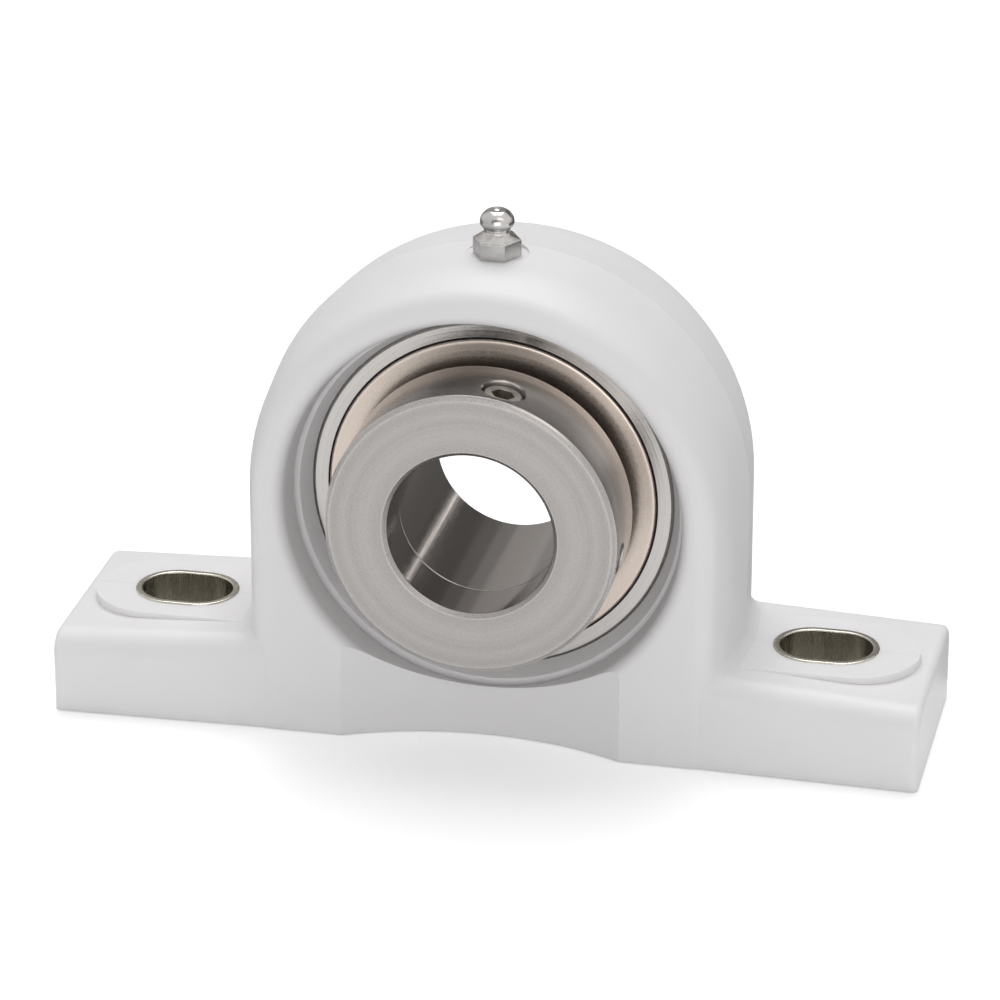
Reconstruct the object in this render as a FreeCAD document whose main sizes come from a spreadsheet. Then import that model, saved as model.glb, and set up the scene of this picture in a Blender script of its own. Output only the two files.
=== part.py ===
import FreeCAD, Part
import math
import os
import re
import Sketcher
from collections import namedtuple

# Pillow block bearing: a plastic housing with two sleeved bolt slots, a grease nipple,
# and a self-aligning ball bearing insert held on its shaft by an eccentric collar.
# Frame: +Z is up, +Y is the rear, the shaft runs along Y. The origin is on the base
# plane, halfway between the two bolt slots and in the plane of the balls.

# Driving sizes, in millimetres and degrees. Depths are distances along Y from the plane
# of the balls, heights are distances from the base plane.
SIZES = {
    # housing block
    "axis_height": 47.6,
    "bolt_spacing": 126.0,
    "end_overhang": 21.0,
    "foot_end_height": 16.0,
    "foot_rise": 3.0,
    "foot_end_spread": 1.0,
    "foot_root_pinch": 0.6,
    "foot_edge_round": 4.4,
    "foot_end_round": 1.4,
    "foot_root_round": 3.0,
    "boss_step": 2.0,
    "boss_half_width": 12.7,
    "boss_end_reach": 5.3,
    "boss_root_reach": 13.0,
    "arch_wall": 9.2,
    "arch_overhang": 11.7,
    "arch_shoulder_inset": 1.4,
    "arch_shoulder_setback": 6.7,
    "arch_face_inset": 4.0,
    "arch_crown_round": 24.0,
    "arch_edge_round": 4.2,
    "trough_half_width": 27.0,
    "trough_depth": 6.2,
    # recess round the insert
    "rim_gap": 2.4,
    "rim_round": 2.6,
    "recess_draft": 1.0,
    "cover_groove_depth": 0.7,
    "cover_groove_width": 1.8,
    "cover_groove_step": 3.3,
    "ledge_gap": 0.6,
    "seat_setback": 0.3,
    "seat_clearance": 0.1,
    "loading_gap": 0.25,
    # cored underside
    "core_round": 1.5,
    "inner_core_start": 8.0,
    "inner_core_end": 24.0,
    "inner_core_wall": 9.7,
    "inner_core_height": 5.0,
    "outer_core_start": 27.0,
    "outer_core_end": 43.0,
    "outer_core_wall": 5.2,
    "outer_core_height": 11.0,
    "foot_core_wall": 3.6,
    "foot_core_inner_reach": 16.5,
    "foot_core_height": 11.5,
    "rib_half_thickness": 1.3,
    "sleeve_wall_plastic": 3.0,
    # bolt sleeves
    "sleeve_half_length": 10.2,
    "sleeve_half_width": 7.8,
    "sleeve_thickness": 1.3,
    "sleeve_stand": 0.3,
    "sleeve_chamfer": 0.3,
    "press_gap": 0.02,
    # grease nipple, its heights counted from the spot face
    "nipple_setback": 5.0,
    "spot_face_sink": 0.9,
    "spot_face_radius": 6.0,
    "thread_radius": 3.0,
    "thread_length": 5.5,
    "thread_gap": 0.02,
    "thread_end_gap": 1.0,
    "grease_passage_radius": 1.5,
    "nipple_hex_half_flats": 4.0,
    "nipple_hex_height": 3.2,
    "nipple_cone_rise": 1.4,
    "nipple_neck_radius": 2.5,
    "nipple_neck_rise": 0.7,
    "nipple_head_radius": 3.25,
    "nipple_head_flare": 0.8,
    "nipple_head_band": 0.9,
    "nipple_head_taper": 1.9,
    "nipple_top_radius": 1.5,
    "nipple_mouth_radius": 0.8,
    "nipple_mouth_depth": 0.1,
    "valve_cavity_gap": 0.15,
    "valve_cone_depth": 0.5,
    "valve_cavity_floor": 2.0,
    "valve_ball_radius": 1.2,
    "valve_ball_gap": 0.03,
    "valve_passage_radius": 0.7,
    "spring_mean_radius": 0.95,
    "spring_wire_radius": 0.17,
    "spring_turns": 5.0,
    # locating pin under the outer ring
    "pin_radius": 1.5,
    "pin_hole_depth": 2.0,
    "pin_hole_end_gap": 0.15,
    "pin_stand": 1.7,
    "pin_chamfer": 0.2,
    "pin_hole_gap": 0.02,
    "pin_slot_gap": 0.06,
    "pin_slot_end_gap": 0.4,
    "pin_slot_travel": 1.6,
    # ball row
    "ball_radius": 5.556,
    "ball_pitch_radius": 26.75,
    "ball_gap": 0.02,
    "ball_count": 9,
    "raceway_slack": 0.294,
    # outer ring
    "outer_wall": 3.694,
    "outer_land_drop": 2.206,
    "ring_width_margin": 3.944,
    "ring_face_land": 2.46,
    "ring_chamfer_depth": 0.55,
    "seal_step": 1.74,
    "seal_groove_depth": 0.61,
    "seal_retainer_width": 1.3,
    "grease_groove_depth": 1.4,
    "grease_groove_half_width": 2.1,
    "grease_hole_setback": 1.4,
    "grease_hole_radius": 0.6,
    "grease_hole_angle": 60.0,
    # seals and flingers
    "seal_gap": 0.05,
    "seal_plate_thickness": 0.5,
    "seal_web_gap": 1.05,
    "seal_lip_gap": 0.15,
    "seal_lip_thickness": 0.35,
    "seal_ridge_gap": 4.55,
    "seal_ridge_thickness": 0.6,
    "seal_ridge_height": 0.95,
    "core_bore_gap": 1.95,
    "core_rim_step": 0.9,
    "flinger_rim_gap": 0.34,
    "flinger_stand": 0.45,
    "flinger_thickness": 0.6,
    "flinger_hub_length": 1.7,
    "flinger_rim_length": 1.35,
    "flinger_corner_round": 0.45,
    # cage
    "cage_thickness": 0.9,
    "cage_ball_gap": 0.15,
    "cage_half_height": 2.05,
    "rivet_radius": 0.8,
    "rivet_gap": 0.02,
    "rivet_head_radius": 1.5,
    "rivet_head_height": 0.6,
    # inner ring
    "bore_radius": 15.875,
    "bore_chamfer": 0.8,
    "inner_land_drop": 2.256,
    "shoulder_stand": 0.45,
    "inner_rear_depth": 14.2,
    "inner_rear_chamfer": 0.6,
    "cam_wall": 4.325,
    "cam_length": 5.7,
    "cam_chamfer": 0.4,
    "cam_offset": 0.8,
    "cam_angle": 259.0,
    "neck_margin": 0.6,
    "neck_length": 2.1,
    # locking collar
    "collar_wall": 6.5,
    "collar_gap": 0.4,
    "collar_length": 16.6,
    "collar_chamfer": 0.9,
    "collar_cam_gap": 0.25,
    "collar_end_gap": 0.3,
    "screw_angle": 79.0,
    "screw_setback": 6.2,
    "screw_radius": 4.0,
    "screw_gap": 0.03,
    "screw_tip_gap": 0.1,
    "screw_head_sink": 1.775,
    "screw_point_radius": 2.6,
    "screw_chamfer": 0.6,
    "socket_half_flats": 2.0,
    "socket_depth": 4.0,
    "socket_cone_depth": 0.7,
    "drift_hole_angle": -9.0,
    "drift_hole_setback": 5.5,
    "drift_hole_radius": 2.9,
    "drift_hole_depth": 4.95,
}

# Sizes of pieces that fit, seat or line up with others, worked out from the driving sizes.
FITTED = {
    # ball row and rings
    "raceway_radius": "ball_radius + raceway_slack",
    "outer_floor_radius": "ball_pitch_radius + ball_radius + ball_gap",
    "inner_floor_radius": "ball_pitch_radius - ball_radius - ball_gap",
    "ring_radius": "ball_pitch_radius + ball_radius + outer_wall",
    "ring_half_width": "ball_radius + ring_width_margin",
    "ring_shoulder_radius": "ball_pitch_radius + ball_radius - outer_land_drop",
    "inner_shoulder_radius": "ball_pitch_radius - ball_radius + inner_land_drop",
    "ring_bore_radius": "ring_shoulder_radius + seal_step",
    "ring_face_radius": "ring_bore_radius + ring_face_land",
    "seal_groove_radius": "ring_bore_radius + seal_groove_depth",
    "seal_groove_outer": "ring_half_width - seal_retainer_width",
    "seal_groove_inner": "seal_groove_outer - 2 * (seal_plate_thickness + seal_gap)",
    "grease_groove_radius": "ring_radius - grease_groove_depth",
    "grease_groove_near": "nipple_setback - grease_groove_half_width",
    "grease_groove_far": "nipple_setback + grease_groove_half_width",
    "grease_hole_depth": "seal_groove_inner - grease_hole_setback",
    # seals, flingers and cage
    "seal_inner_radius": "inner_shoulder_radius + seal_web_gap",
    "seal_lip_radius": "inner_shoulder_radius + seal_lip_gap",
    "seal_ridge_radius": "inner_shoulder_radius + seal_ridge_gap",
    "seal_ridge_reach": "seal_groove_outer - seal_gap + seal_ridge_height",
    "core_inner_radius": "inner_shoulder_radius + core_bore_gap",
    "core_outer_radius": "ring_shoulder_radius + core_rim_step",
    "flinger_radius": "ring_bore_radius - flinger_rim_gap",
    "flinger_face_depth": "ring_half_width + flinger_stand",
    "flinger_hub_depth": "flinger_face_depth - flinger_hub_length",
    "flinger_rim_depth": "flinger_face_depth - flinger_rim_length",
    "cage_inner_radius": "ball_pitch_radius - cage_half_height",
    "cage_outer_radius": "ball_pitch_radius + cage_half_height",
    # inner ring and collar
    "inner_shoulder_front": "flinger_face_depth + shoulder_stand",
    "neck_front": "inner_shoulder_front + neck_length",
    "cam_front": "neck_front + cam_length",
    "cam_radius": "bore_radius + cam_wall",
    "neck_radius": "cam_radius + cam_offset + neck_margin",
    "collar_back": "neck_front + collar_gap",
    "collar_front": "collar_back + collar_length",
    "collar_cam_floor": "cam_front + collar_end_gap",
    "collar_radius": "cam_radius + collar_cam_gap + cam_offset + collar_wall",
    "screw_depth": "collar_front - screw_setback",
    "screw_length": "collar_radius - screw_head_sink - bore_radius - screw_tip_gap",
    "drift_hole_place": "collar_front - drift_hole_setback",
    "drift_hole_floor": "collar_radius - drift_hole_depth",
    # locating pin
    "pin_hole_floor": "ring_radius - pin_hole_depth",
    "pin_inner_reach": "pin_hole_floor + pin_hole_end_gap",
    "pin_outer_reach": "ring_radius + pin_stand",
    "pin_slot_reach": "pin_outer_reach + pin_slot_end_gap",
    # housing
    "half_length": "bolt_spacing / 2 + end_overhang",
    "rim_radius": "ring_radius + rim_gap",
    "recess_wall_radius": "rim_radius - recess_draft",
    "cover_groove_radius": "recess_wall_radius + cover_groove_depth",
    "cover_groove_back": "ring_half_width + cover_groove_step",
    "cover_groove_front": "cover_groove_back + cover_groove_width",
    "ledge_radius": "ring_radius + ledge_gap",
    "seat_half_depth": "ring_half_width - seat_setback",
    "arch_radius": "rim_radius + arch_wall",
    "arch_half_depth": "ring_half_width + arch_overhang",
    "arch_shoulder_depth": "arch_half_depth - arch_shoulder_setback",
    "foot_end_half_width": "arch_half_depth + foot_end_spread",
    "foot_root_half_width": "arch_half_depth - foot_root_pinch",
    "foot_root_height": "foot_end_height + foot_rise",
    "boss_height": "foot_end_height + boss_step",
    "boss_end_centre": "bolt_spacing / 2 + boss_end_reach",
    "boss_root_centre": "bolt_spacing / 2 - boss_root_reach",
    "sleeve_height": "boss_height + sleeve_stand",
    "inner_core_half_width": "arch_half_depth - inner_core_wall",
    "outer_core_half_width": "arch_half_depth - outer_core_wall",
    "foot_core_start": "bolt_spacing / 2 - foot_core_inner_reach",
    "foot_core_end": "half_length - foot_core_wall",
    "foot_core_half_width": "arch_half_depth - foot_core_wall + foot_root_pinch / 2",
    # nipple
    "spot_face_height": "axis_height + arch_radius - spot_face_sink",
    "nipple_hole_depth": "thread_length + thread_end_gap",
    "nipple_cone_height": "nipple_hex_height + nipple_cone_rise",
    "nipple_neck_height": "nipple_cone_height + nipple_neck_rise",
    "nipple_head_low": "nipple_neck_height + nipple_head_flare",
    "nipple_head_high": "nipple_head_low + nipple_head_band",
    "nipple_top_height": "nipple_head_high + nipple_head_taper",
    "valve_cavity_radius": "valve_ball_radius + valve_cavity_gap",
}

SHEET = "Sizes"
EXPORT_FOLDER = "parts"

# One corner of an outline. A rounding is a fillet radius between two straight edges; an
# arc is the radius of the edge that leaves this corner, bulging to the named side.
Corner = namedtuple("Corner", "u v rounding arc bulge", defaults=(None, None, None))


def bound(text):
    """Spell out fitted sizes and point every driving size at the sheet."""
    def reference(word):
        name = word.group(0)
        if name in FITTED:
            return "(" + bound(FITTED[name]) + ")"
        return SHEET + "." + name if name in SIZES else name
    return re.sub(r"[a-z][a-z_]*", reference, text)


def number(doc, text):
    """Return the present value of an expression."""
    value = doc.getObject(SHEET).evalExpression(bound(text))
    return float(getattr(value, "Value", value))


def fill_sheet(doc):
    """Write every size into the sheet under its own alias."""
    sheet = doc.addObject("Spreadsheet::Sheet", SHEET)
    for row, (name, value) in enumerate(SIZES.items(), start=1):
        sheet.set("A%d" % row, name)
        sheet.set("B%d" % row, str(value))
        sheet.setAlias("B%d" % row, name)
    doc.recompute()


# Sketch helpers

def drive(sketch, kind, place, text):
    """Add a dimension whose value follows an expression."""
    value = number(sketch.Document, text)
    index = sketch.addConstraint(Sketcher.Constraint(kind, *place, value))
    sketch.setExpression("Constraints[%d]" % index, bound(text))


def fix_point(sketch, item, end, u, v):
    """Dimension one point of a sketch item from the sketch origin."""
    for kind, axis, text in (("DistanceX", -2, u), ("DistanceY", -1, v)):
        if text == "0":
            sketch.addConstraint(Sketcher.Constraint("PointOnObject", item, end, axis))
        else:
            drive(sketch, kind, (-1, 1, item, end), text)


def arc_between(start, finish, radius, bulge):
    """Return a circular arc and the ends of it that meet the start and the finish."""
    chord = finish - start
    middle = (start + finish) * 0.5
    left = FreeCAD.Vector(-chord.y, chord.x, 0).normalize()
    rise = math.sqrt(max(radius ** 2 - (chord.Length / 2) ** 2, 0.0))
    centre = middle + left * (rise if bulge == "right" else -rise)
    first, last = (start, finish) if bulge == "right" else (finish, start)
    angles = [math.atan2(point.y - centre.y, point.x - centre.x) for point in (first, last)]
    circle = Part.Circle(centre, FreeCAD.Vector(0, 0, 1), radius)
    ends = (1, 2) if bulge == "right" else (2, 1)
    return Part.ArcOfCircle(circle, angles[0], angles[1]), ends


def rounded_ends(before, corner, after, radius):
    """Return where a fillet leaves its two edges and the side it bulges to."""
    arriving = (corner - before).normalize()
    leaving = (after - corner).normalize()
    turn = arriving.x * leaving.y - arriving.y * leaving.x
    half_turn = 0.5 * math.acos(max(-1.0, min(1.0, arriving.dot(leaving))))
    trim = radius * math.tan(half_turn)
    return corner - arriving * trim, corner + leaving * trim, "right" if turn > 0 else "left"


def draw_outline(sketch, corners):
    """Draw a closed outline through corners whose places are expressions."""
    doc = sketch.Document
    places = [FreeCAD.Vector(number(doc, c.u), number(doc, c.v), 0) for c in corners]
    count = len(corners)
    arrive, leave, fillets = list(places), list(places), {}
    for i, corner in enumerate(corners):
        if corner.rounding:
            radius = number(doc, corner.rounding)
            arrive[i], leave[i], bulge = rounded_ends(
                places[i - 1], places[i], places[(i + 1) % count], radius)
            arc, ends = arc_between(arrive[i], leave[i], radius, bulge)
            fillets[i] = (sketch.addGeometry(arc), ends)
    edges = []
    for i, corner in enumerate(corners):
        start, finish = leave[i], arrive[(i + 1) % count]
        if corner.arc:
            arc, ends = arc_between(start, finish, number(doc, corner.arc), corner.bulge)
            edges.append((sketch.addGeometry(arc), ends))
        else:
            edges.append((sketch.addGeometry(Part.LineSegment(start, finish)), (1, 2)))
    for i, corner in enumerate(corners):
        before, (_, before_end) = edges[i - 1][0], edges[i - 1][1]
        after, (after_start, _) = edges[i][0], edges[i][1]
        if i in fillets:
            fillet, (fillet_start, fillet_end) = fillets[i]
            join = Sketcher.Constraint("Tangent", before, before_end, fillet, fillet_start)
            sketch.addConstraint(join)
            join = Sketcher.Constraint("Tangent", fillet, fillet_end, after, after_start)
            sketch.addConstraint(join)
            drive(sketch, "Radius", (fillet,), corner.rounding)
            mark = sketch.addGeometry(Part.Point(places[i]), True)
            sketch.addConstraint(Sketcher.Constraint("PointOnObject", mark, 1, before))
            sketch.addConstraint(Sketcher.Constraint("PointOnObject", mark, 1, after))
            fix_point(sketch, mark, 1, corner.u, corner.v)
        else:
            meet = Sketcher.Constraint("Coincident", before, before_end, after, after_start)
            sketch.addConstraint(meet)
            fix_point(sketch, after, after_start, corner.u, corner.v)
        if corner.arc:
            drive(sketch, "Radius", (after,), corner.arc)


def draw_circle(sketch, u, v, radius):
    """Draw a circle round a dimensioned centre."""
    doc = sketch.Document
    centre = FreeCAD.Vector(number(doc, u), number(doc, v), 0)
    circle = Part.Circle(centre, FreeCAD.Vector(0, 0, 1), number(doc, radius))
    item = sketch.addGeometry(circle)
    fix_point(sketch, item, 3, u, v)
    drive(sketch, "Radius", (item,), radius)


def draw_half_disc(sketch, u, radius):
    """Draw the upper half of a disc standing on the horizontal axis."""
    doc = sketch.Document
    centre = FreeCAD.Vector(number(doc, u), 0, 0)
    reach = FreeCAD.Vector(number(doc, radius), 0, 0)
    circle = Part.Circle(centre, FreeCAD.Vector(0, 0, 1), reach.x)
    arc = sketch.addGeometry(Part.ArcOfCircle(circle, 0, math.pi))
    base = sketch.addGeometry(Part.LineSegment(centre - reach, centre + reach))
    fix_point(sketch, arc, 3, u, "0")
    drive(sketch, "Radius", (arc,), radius)
    sketch.addConstraint(Sketcher.Constraint("PointOnObject", arc, 1, -1))
    sketch.addConstraint(Sketcher.Constraint("PointOnObject", arc, 2, -1))
    sketch.addConstraint(Sketcher.Constraint("Coincident", arc, 2, base, 1))
    sketch.addConstraint(Sketcher.Constraint("Coincident", arc, 1, base, 2))


def draw_racetrack(sketch, u, v, straight, radius, upright=False):
    """Draw two half circles joined by tangents; straight is half their centre distance."""
    doc = sketch.Document
    middle = FreeCAD.Vector(number(doc, u), number(doc, v), 0)
    along = FreeCAD.Vector(0, 1, 0) if upright else FreeCAD.Vector(1, 0, 0)
    across = FreeCAD.Vector(along.y, along.x, 0)
    turn = math.pi / 2 if upright else 0.0
    half, width = number(doc, straight), number(doc, radius)
    up = FreeCAD.Vector(0, 0, 1)
    ends = []
    for sign in (1, -1):
        centre = middle + along * (half * sign)
        start = turn - math.pi / 2 if sign > 0 else turn + math.pi / 2
        arc = Part.ArcOfCircle(Part.Circle(centre, up, width), start, start + math.pi)
        ends.append(sketch.addGeometry(arc))
    first, second = ends
    near = across * (-width if upright else width)
    for begin, finish, side in ((first, second, near), (second, first, near * -1)):
        sign = 1 if begin == first else -1
        line = Part.LineSegment(middle + along * (half * sign) + side,
                                middle - along * (half * sign) + side)
        item = sketch.addGeometry(line)
        sketch.addConstraint(Sketcher.Constraint("Tangent", begin, 2, item, 1))
        sketch.addConstraint(Sketcher.Constraint("Tangent", item, 2, finish, 1))
    sketch.addConstraint(Sketcher.Constraint("Equal", first, second))
    drive(sketch, "Radius", (first,), radius)
    for item, sign in ((first, "+"), (second, "-")):
        far_u = u if upright else "%s %s (%s)" % (u, sign, straight)
        far_v = "%s %s (%s)" % (v, sign, straight) if upright else v
        fix_point(sketch, item, 3, far_u, far_v)


def draw_hexagon(sketch, half_flats):
    """Draw a regular hexagon about the sketch origin with two flats facing along v."""
    corners = []
    for turn in range(6):
        reach = "(%s) / cos(30 deg)" % half_flats
        angle = "(%d deg)" % (60 * turn)
        u = "%s * cos%s" % (reach, angle)
        v = "0" if turn % 3 == 0 else "%s * sin%s" % (reach, angle)
        corners.append(Corner(u, v))
    draw_outline(sketch, corners)


# Body helpers

def new_body(doc, label, side="0", depth="0", height="0"):
    """Start a named body placed by expressions."""
    body = doc.addObject("PartDesign::Body", label)
    doc.recompute()
    for axis, text in (("x", side), ("y", depth), ("z", height)):
        if text != "0":
            body.setExpression("Placement.Base." + axis, bound(text))
    return body


def origin_item(body, role):
    """Return one of the body's own origin planes or axes."""
    return [item for item in body.Origin.OriginFeatures if item.Role == role][0]


def new_sketch(body, name, role="XY_Plane", lift="0"):
    """Start a sketch on one of the body's own planes, lifted along its normal."""
    sketch = body.newObject("Sketcher::SketchObject", body.Label + "_" + name)
    sketch.AttachmentSupport = [(origin_item(body, role), "")]
    sketch.MapMode = "FlatFace"
    if lift != "0":
        sketch.setExpression("AttachmentOffset.Base.z", bound(lift))
    return sketch


def radial_sketch(body, name, angle, reach, depth):
    """Start a sketch that faces outward along a radius of the Y axis."""
    sketch = new_sketch(body, name)
    quarter = FreeCAD.Rotation(FreeCAD.Vector(0, 1, 0), 45)
    sketch.AttachmentOffset = FreeCAD.Placement(FreeCAD.Vector(), quarter)
    sketch.setExpression("AttachmentOffset.Rotation.Angle", bound("90 - (%s)" % angle))
    radian = "((%s) * 1 deg)" % angle
    sketch.setExpression("AttachmentOffset.Base.x", bound("(%s) * cos%s" % (reach, radian)))
    sketch.setExpression("AttachmentOffset.Base.y", bound(depth))
    sketch.setExpression("AttachmentOffset.Base.z", bound("(%s) * sin%s" % (reach, radian)))
    return sketch


def turn_solid(sketch, kind="Revolution", axis="V_Axis", angle=360.0):
    """Turn a sketch round one of its axes, adding or removing what it sweeps."""
    body = sketch.getParentGeoFeatureGroup()
    feature = body.newObject("PartDesign::" + kind, sketch.Name + "_turned")
    feature.Profile = sketch
    feature.ReferenceAxis = (sketch, [axis])
    feature.Angle = angle
    return feature


def extrude(sketch, kind, length, backward=False):
    """Push a sketch along its normal, adding (Pad) or removing (Pocket) material."""
    body = sketch.getParentGeoFeatureGroup()
    feature = body.newObject("PartDesign::" + kind, sketch.Name + "_pushed")
    feature.Profile = sketch
    feature.Type = 0
    feature.Reversed = backward
    feature.setExpression("Length", bound(length))
    return feature


def mirror(body, feature, role):
    """Repeat a feature on the other side of one of the body's planes."""
    copy = body.newObject("PartDesign::Mirrored", feature.Name + "_mirrored")
    copy.Originals = [feature]
    copy.MirrorPlane = (origin_item(body, role), [""])
    body.Tip = copy
    return copy


def repeat_round(body, feature, count):
    """Repeat a feature evenly round the body's Y axis."""
    pattern = body.newObject("PartDesign::PolarPattern", feature.Name + "_repeated")
    pattern.Originals = [feature]
    pattern.Axis = (origin_item(body, "Y_Axis"), [""])
    pattern.Angle = 360.0
    pattern.setExpression("Occurrences", bound(count))
    body.Tip = pattern
    return pattern


def dress_edges(body, kind, name, size, wanted):
    """Fillet or chamfer the edges of the present tip that a test accepts."""
    body.Document.recompute()
    base = body.Tip
    names = ["Edge%d" % (i + 1) for i, edge in enumerate(base.Shape.Edges) if wanted(edge)]
    feature = body.newObject("PartDesign::" + kind, body.Label + "_" + name)
    feature.Base = (base, names)
    feature.setExpression("Radius" if kind == "Fillet" else "Size", bound(size))
    return feature


def mirrored_text(side, text):
    """Return a depth expression on the front (-1) or rear (+1) side."""
    return text if side > 0 else "-(%s)" % text


# Housing

def arch_edge(mirrored=False):
    """Return the barrelled side of the arch, from the front face to the rear face."""
    corners = [
        Corner("arch_radius - arch_face_inset", "-arch_half_depth", "arch_edge_round"),
        Corner("arch_radius - arch_shoulder_inset", "-arch_shoulder_depth", "arch_crown_round"),
        Corner("arch_radius", "0"),
        Corner("arch_radius - arch_shoulder_inset", "arch_shoulder_depth", "arch_crown_round"),
        Corner("arch_radius - arch_face_inset", "arch_half_depth", "arch_edge_round"),
    ]
    if mirrored:
        return [Corner("-(%s)" % c.u, c.v, c.rounding) for c in reversed(corners)]
    return corners


def add_arch(body):
    """Add the upright walls below the shaft and the round arch above it."""
    walls = new_sketch(body, "wall_outline")
    draw_outline(walls, arch_edge() + arch_edge(mirrored=True))
    extrude(walls, "Pad", "axis_height")
    arch = new_sketch(body, "arch_outline", lift="axis_height")
    middle = [Corner("0", "arch_half_depth"), Corner("0", "-arch_half_depth")]
    draw_outline(arch, arch_edge() + middle)
    turn_solid(arch, angle=180.0).Reversed = True


def foot_section(body, name, place, half_width, height):
    """Draw one cross-section of a foot: flat below, rounded along both top edges."""
    section = new_sketch(body, name, "YZ_Plane", place)
    draw_outline(section, [
        Corner("-" + half_width, "0"),
        Corner(half_width, "0"),
        Corner(half_width, height, "foot_edge_round"),
        Corner("-" + half_width, height, "foot_edge_round"),
    ])
    return section


def round_foot_roots(body):
    """Round the corners where the arch walls rise from the feet."""
    doc = body.Document
    outside = number(doc, "arch_radius")
    inside = number(doc, "arch_radius - arch_face_inset - foot_root_round")
    top = number(doc, "foot_root_height")

    def on_foot_root(edge):
        box = edge.BoundBox
        near, far = sorted((abs(box.XMin), abs(box.XMax)))
        on_wall = box.XMin * box.XMax > 0 and near > inside and far < outside + 1e-3
        return on_wall and box.ZMin > 1e-3 and box.ZMax < top
    dress_edges(body, "Fillet", "foot_root_rounds", "foot_root_round", on_foot_root)


def add_feet(body):
    """Add the two feet, which widen and drop toward their ends, and their flat bosses."""
    root = foot_section(body, "foot_root", "trough_half_width",
                        "foot_root_half_width", "foot_root_height")
    end = foot_section(body, "foot_end", "half_length", "foot_end_half_width", "foot_end_height")
    foot = body.newObject("PartDesign::AdditiveLoft", "housing_foot")
    foot.Profile = root
    foot.Sections = [end]
    mirror(body, foot, "YZ_Plane")
    round_foot_roots(body)
    bosses = new_sketch(body, "boss_outline")
    for sign in ("", "-"):
        draw_racetrack(bosses, sign + "(boss_end_centre + boss_root_centre) / 2", "0",
                       "(boss_end_centre - boss_root_centre) / 2", "boss_half_width")
    extrude(bosses, "Pad", "boss_height")


def add_troughs(body):
    """Hollow the front and rear faces below the insert."""
    outline = new_sketch(body, "trough_outline")
    outside = "-(arch_half_depth + trough_depth)"
    draw_outline(outline, [
        Corner("-trough_half_width", "-arch_half_depth", None,
               "(trough_half_width ^ 2 + trough_depth ^ 2) / (2 * trough_depth)", "left"),
        Corner("trough_half_width", "-arch_half_depth"),
        Corner("trough_half_width", outside),
        Corner("-trough_half_width", outside),
    ])
    trough = extrude(outline, "Pocket", "axis_height", backward=True)
    mirror(body, trough, "XZ_Plane")


def add_recess(body):
    """Turn out the stepped recess and the ball-shaped seat for the insert."""
    recess = new_sketch(body, "recess_outline", lift="axis_height")
    clear = "arch_half_depth + rim_round"
    mouth = "rim_radius + 2 * rim_round"
    seat = "(ring_radius + seat_clearance)"
    seat_edge = "sqrt(%s ^ 2 - seat_half_depth ^ 2)" % seat
    front = [
        Corner("0", "-(%s)" % clear),
        Corner(mouth, "-(%s)" % clear),
        Corner(mouth, "-arch_half_depth"),
        Corner("rim_radius", "-arch_half_depth", "rim_round"),
        Corner("recess_wall_radius", "-cover_groove_front"),
        Corner("cover_groove_radius", "-cover_groove_front"),
        Corner("cover_groove_radius", "-cover_groove_back"),
        Corner("ledge_radius", "-cover_groove_back"),
        Corner(seat_edge, "-seat_half_depth", None, seat, "right"),
    ]
    rear = [Corner(c.u, c.v[1:], c.rounding) for c in reversed(front)]
    draw_outline(recess, front + rear)
    turn_solid(recess, "Groove")
    loading = new_sketch(body, "loading_outline", "XZ_Plane")
    reach = seat
    low = "axis_height - ring_half_width - loading_gap"
    high = "axis_height + ring_half_width + loading_gap"
    draw_outline(loading, [Corner("-" + reach, low), Corner(reach, low),
                           Corner(reach, high), Corner("-" + reach, high)])
    extrude(loading, "Pocket", "arch_half_depth")


def core_rectangle(sketch, start, end, near, far):
    """Draw one rounded rectangle of the cored underside."""
    draw_outline(sketch, [Corner(start, near, "core_round"), Corner(end, near, "core_round"),
                          Corner(end, far, "core_round"), Corner(start, far, "core_round")])


def add_cored_underside(body):
    """Hollow the underside into ribbed pockets and stand the bolt bosses in them."""
    for name in ("inner_core", "outer_core"):
        pockets = new_sketch(body, name)
        for side in ("", "-"):
            for end in ("", "-"):
                core_rectangle(pockets, "%s%s_start" % (side, name), "%s%s_end" % (side, name),
                               end + "rib_half_thickness", "%s%s_half_width" % (end, name))
        extrude(pockets, "Pocket", name + "_height", backward=True)
    feet = new_sketch(body, "foot_core")
    boss_radius = "sleeve_half_width + sleeve_wall_plastic"
    for side in ("", "-"):
        core_rectangle(feet, side + "foot_core_start", side + "foot_core_end",
                       "-foot_core_half_width", "foot_core_half_width")
        draw_racetrack(feet, side + "bolt_spacing / 2", "0",
                       "sleeve_half_length - sleeve_half_width", boss_radius)
    extrude(feet, "Pocket", "foot_core_height", backward=True)
    ribs = new_sketch(body, "foot_ribs")
    reach = "foot_core_half_width + rib_half_thickness"
    for side in ("", "-"):
        near = side + "(bolt_spacing / 2 - rib_half_thickness)"
        far = side + "(bolt_spacing / 2 + rib_half_thickness)"
        draw_outline(ribs, [Corner(near, "-(%s)" % reach), Corner(far, "-(%s)" % reach),
                            Corner(far, reach), Corner(near, reach)])
    extrude(ribs, "Pad", "foot_core_height + rib_half_thickness")


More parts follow.
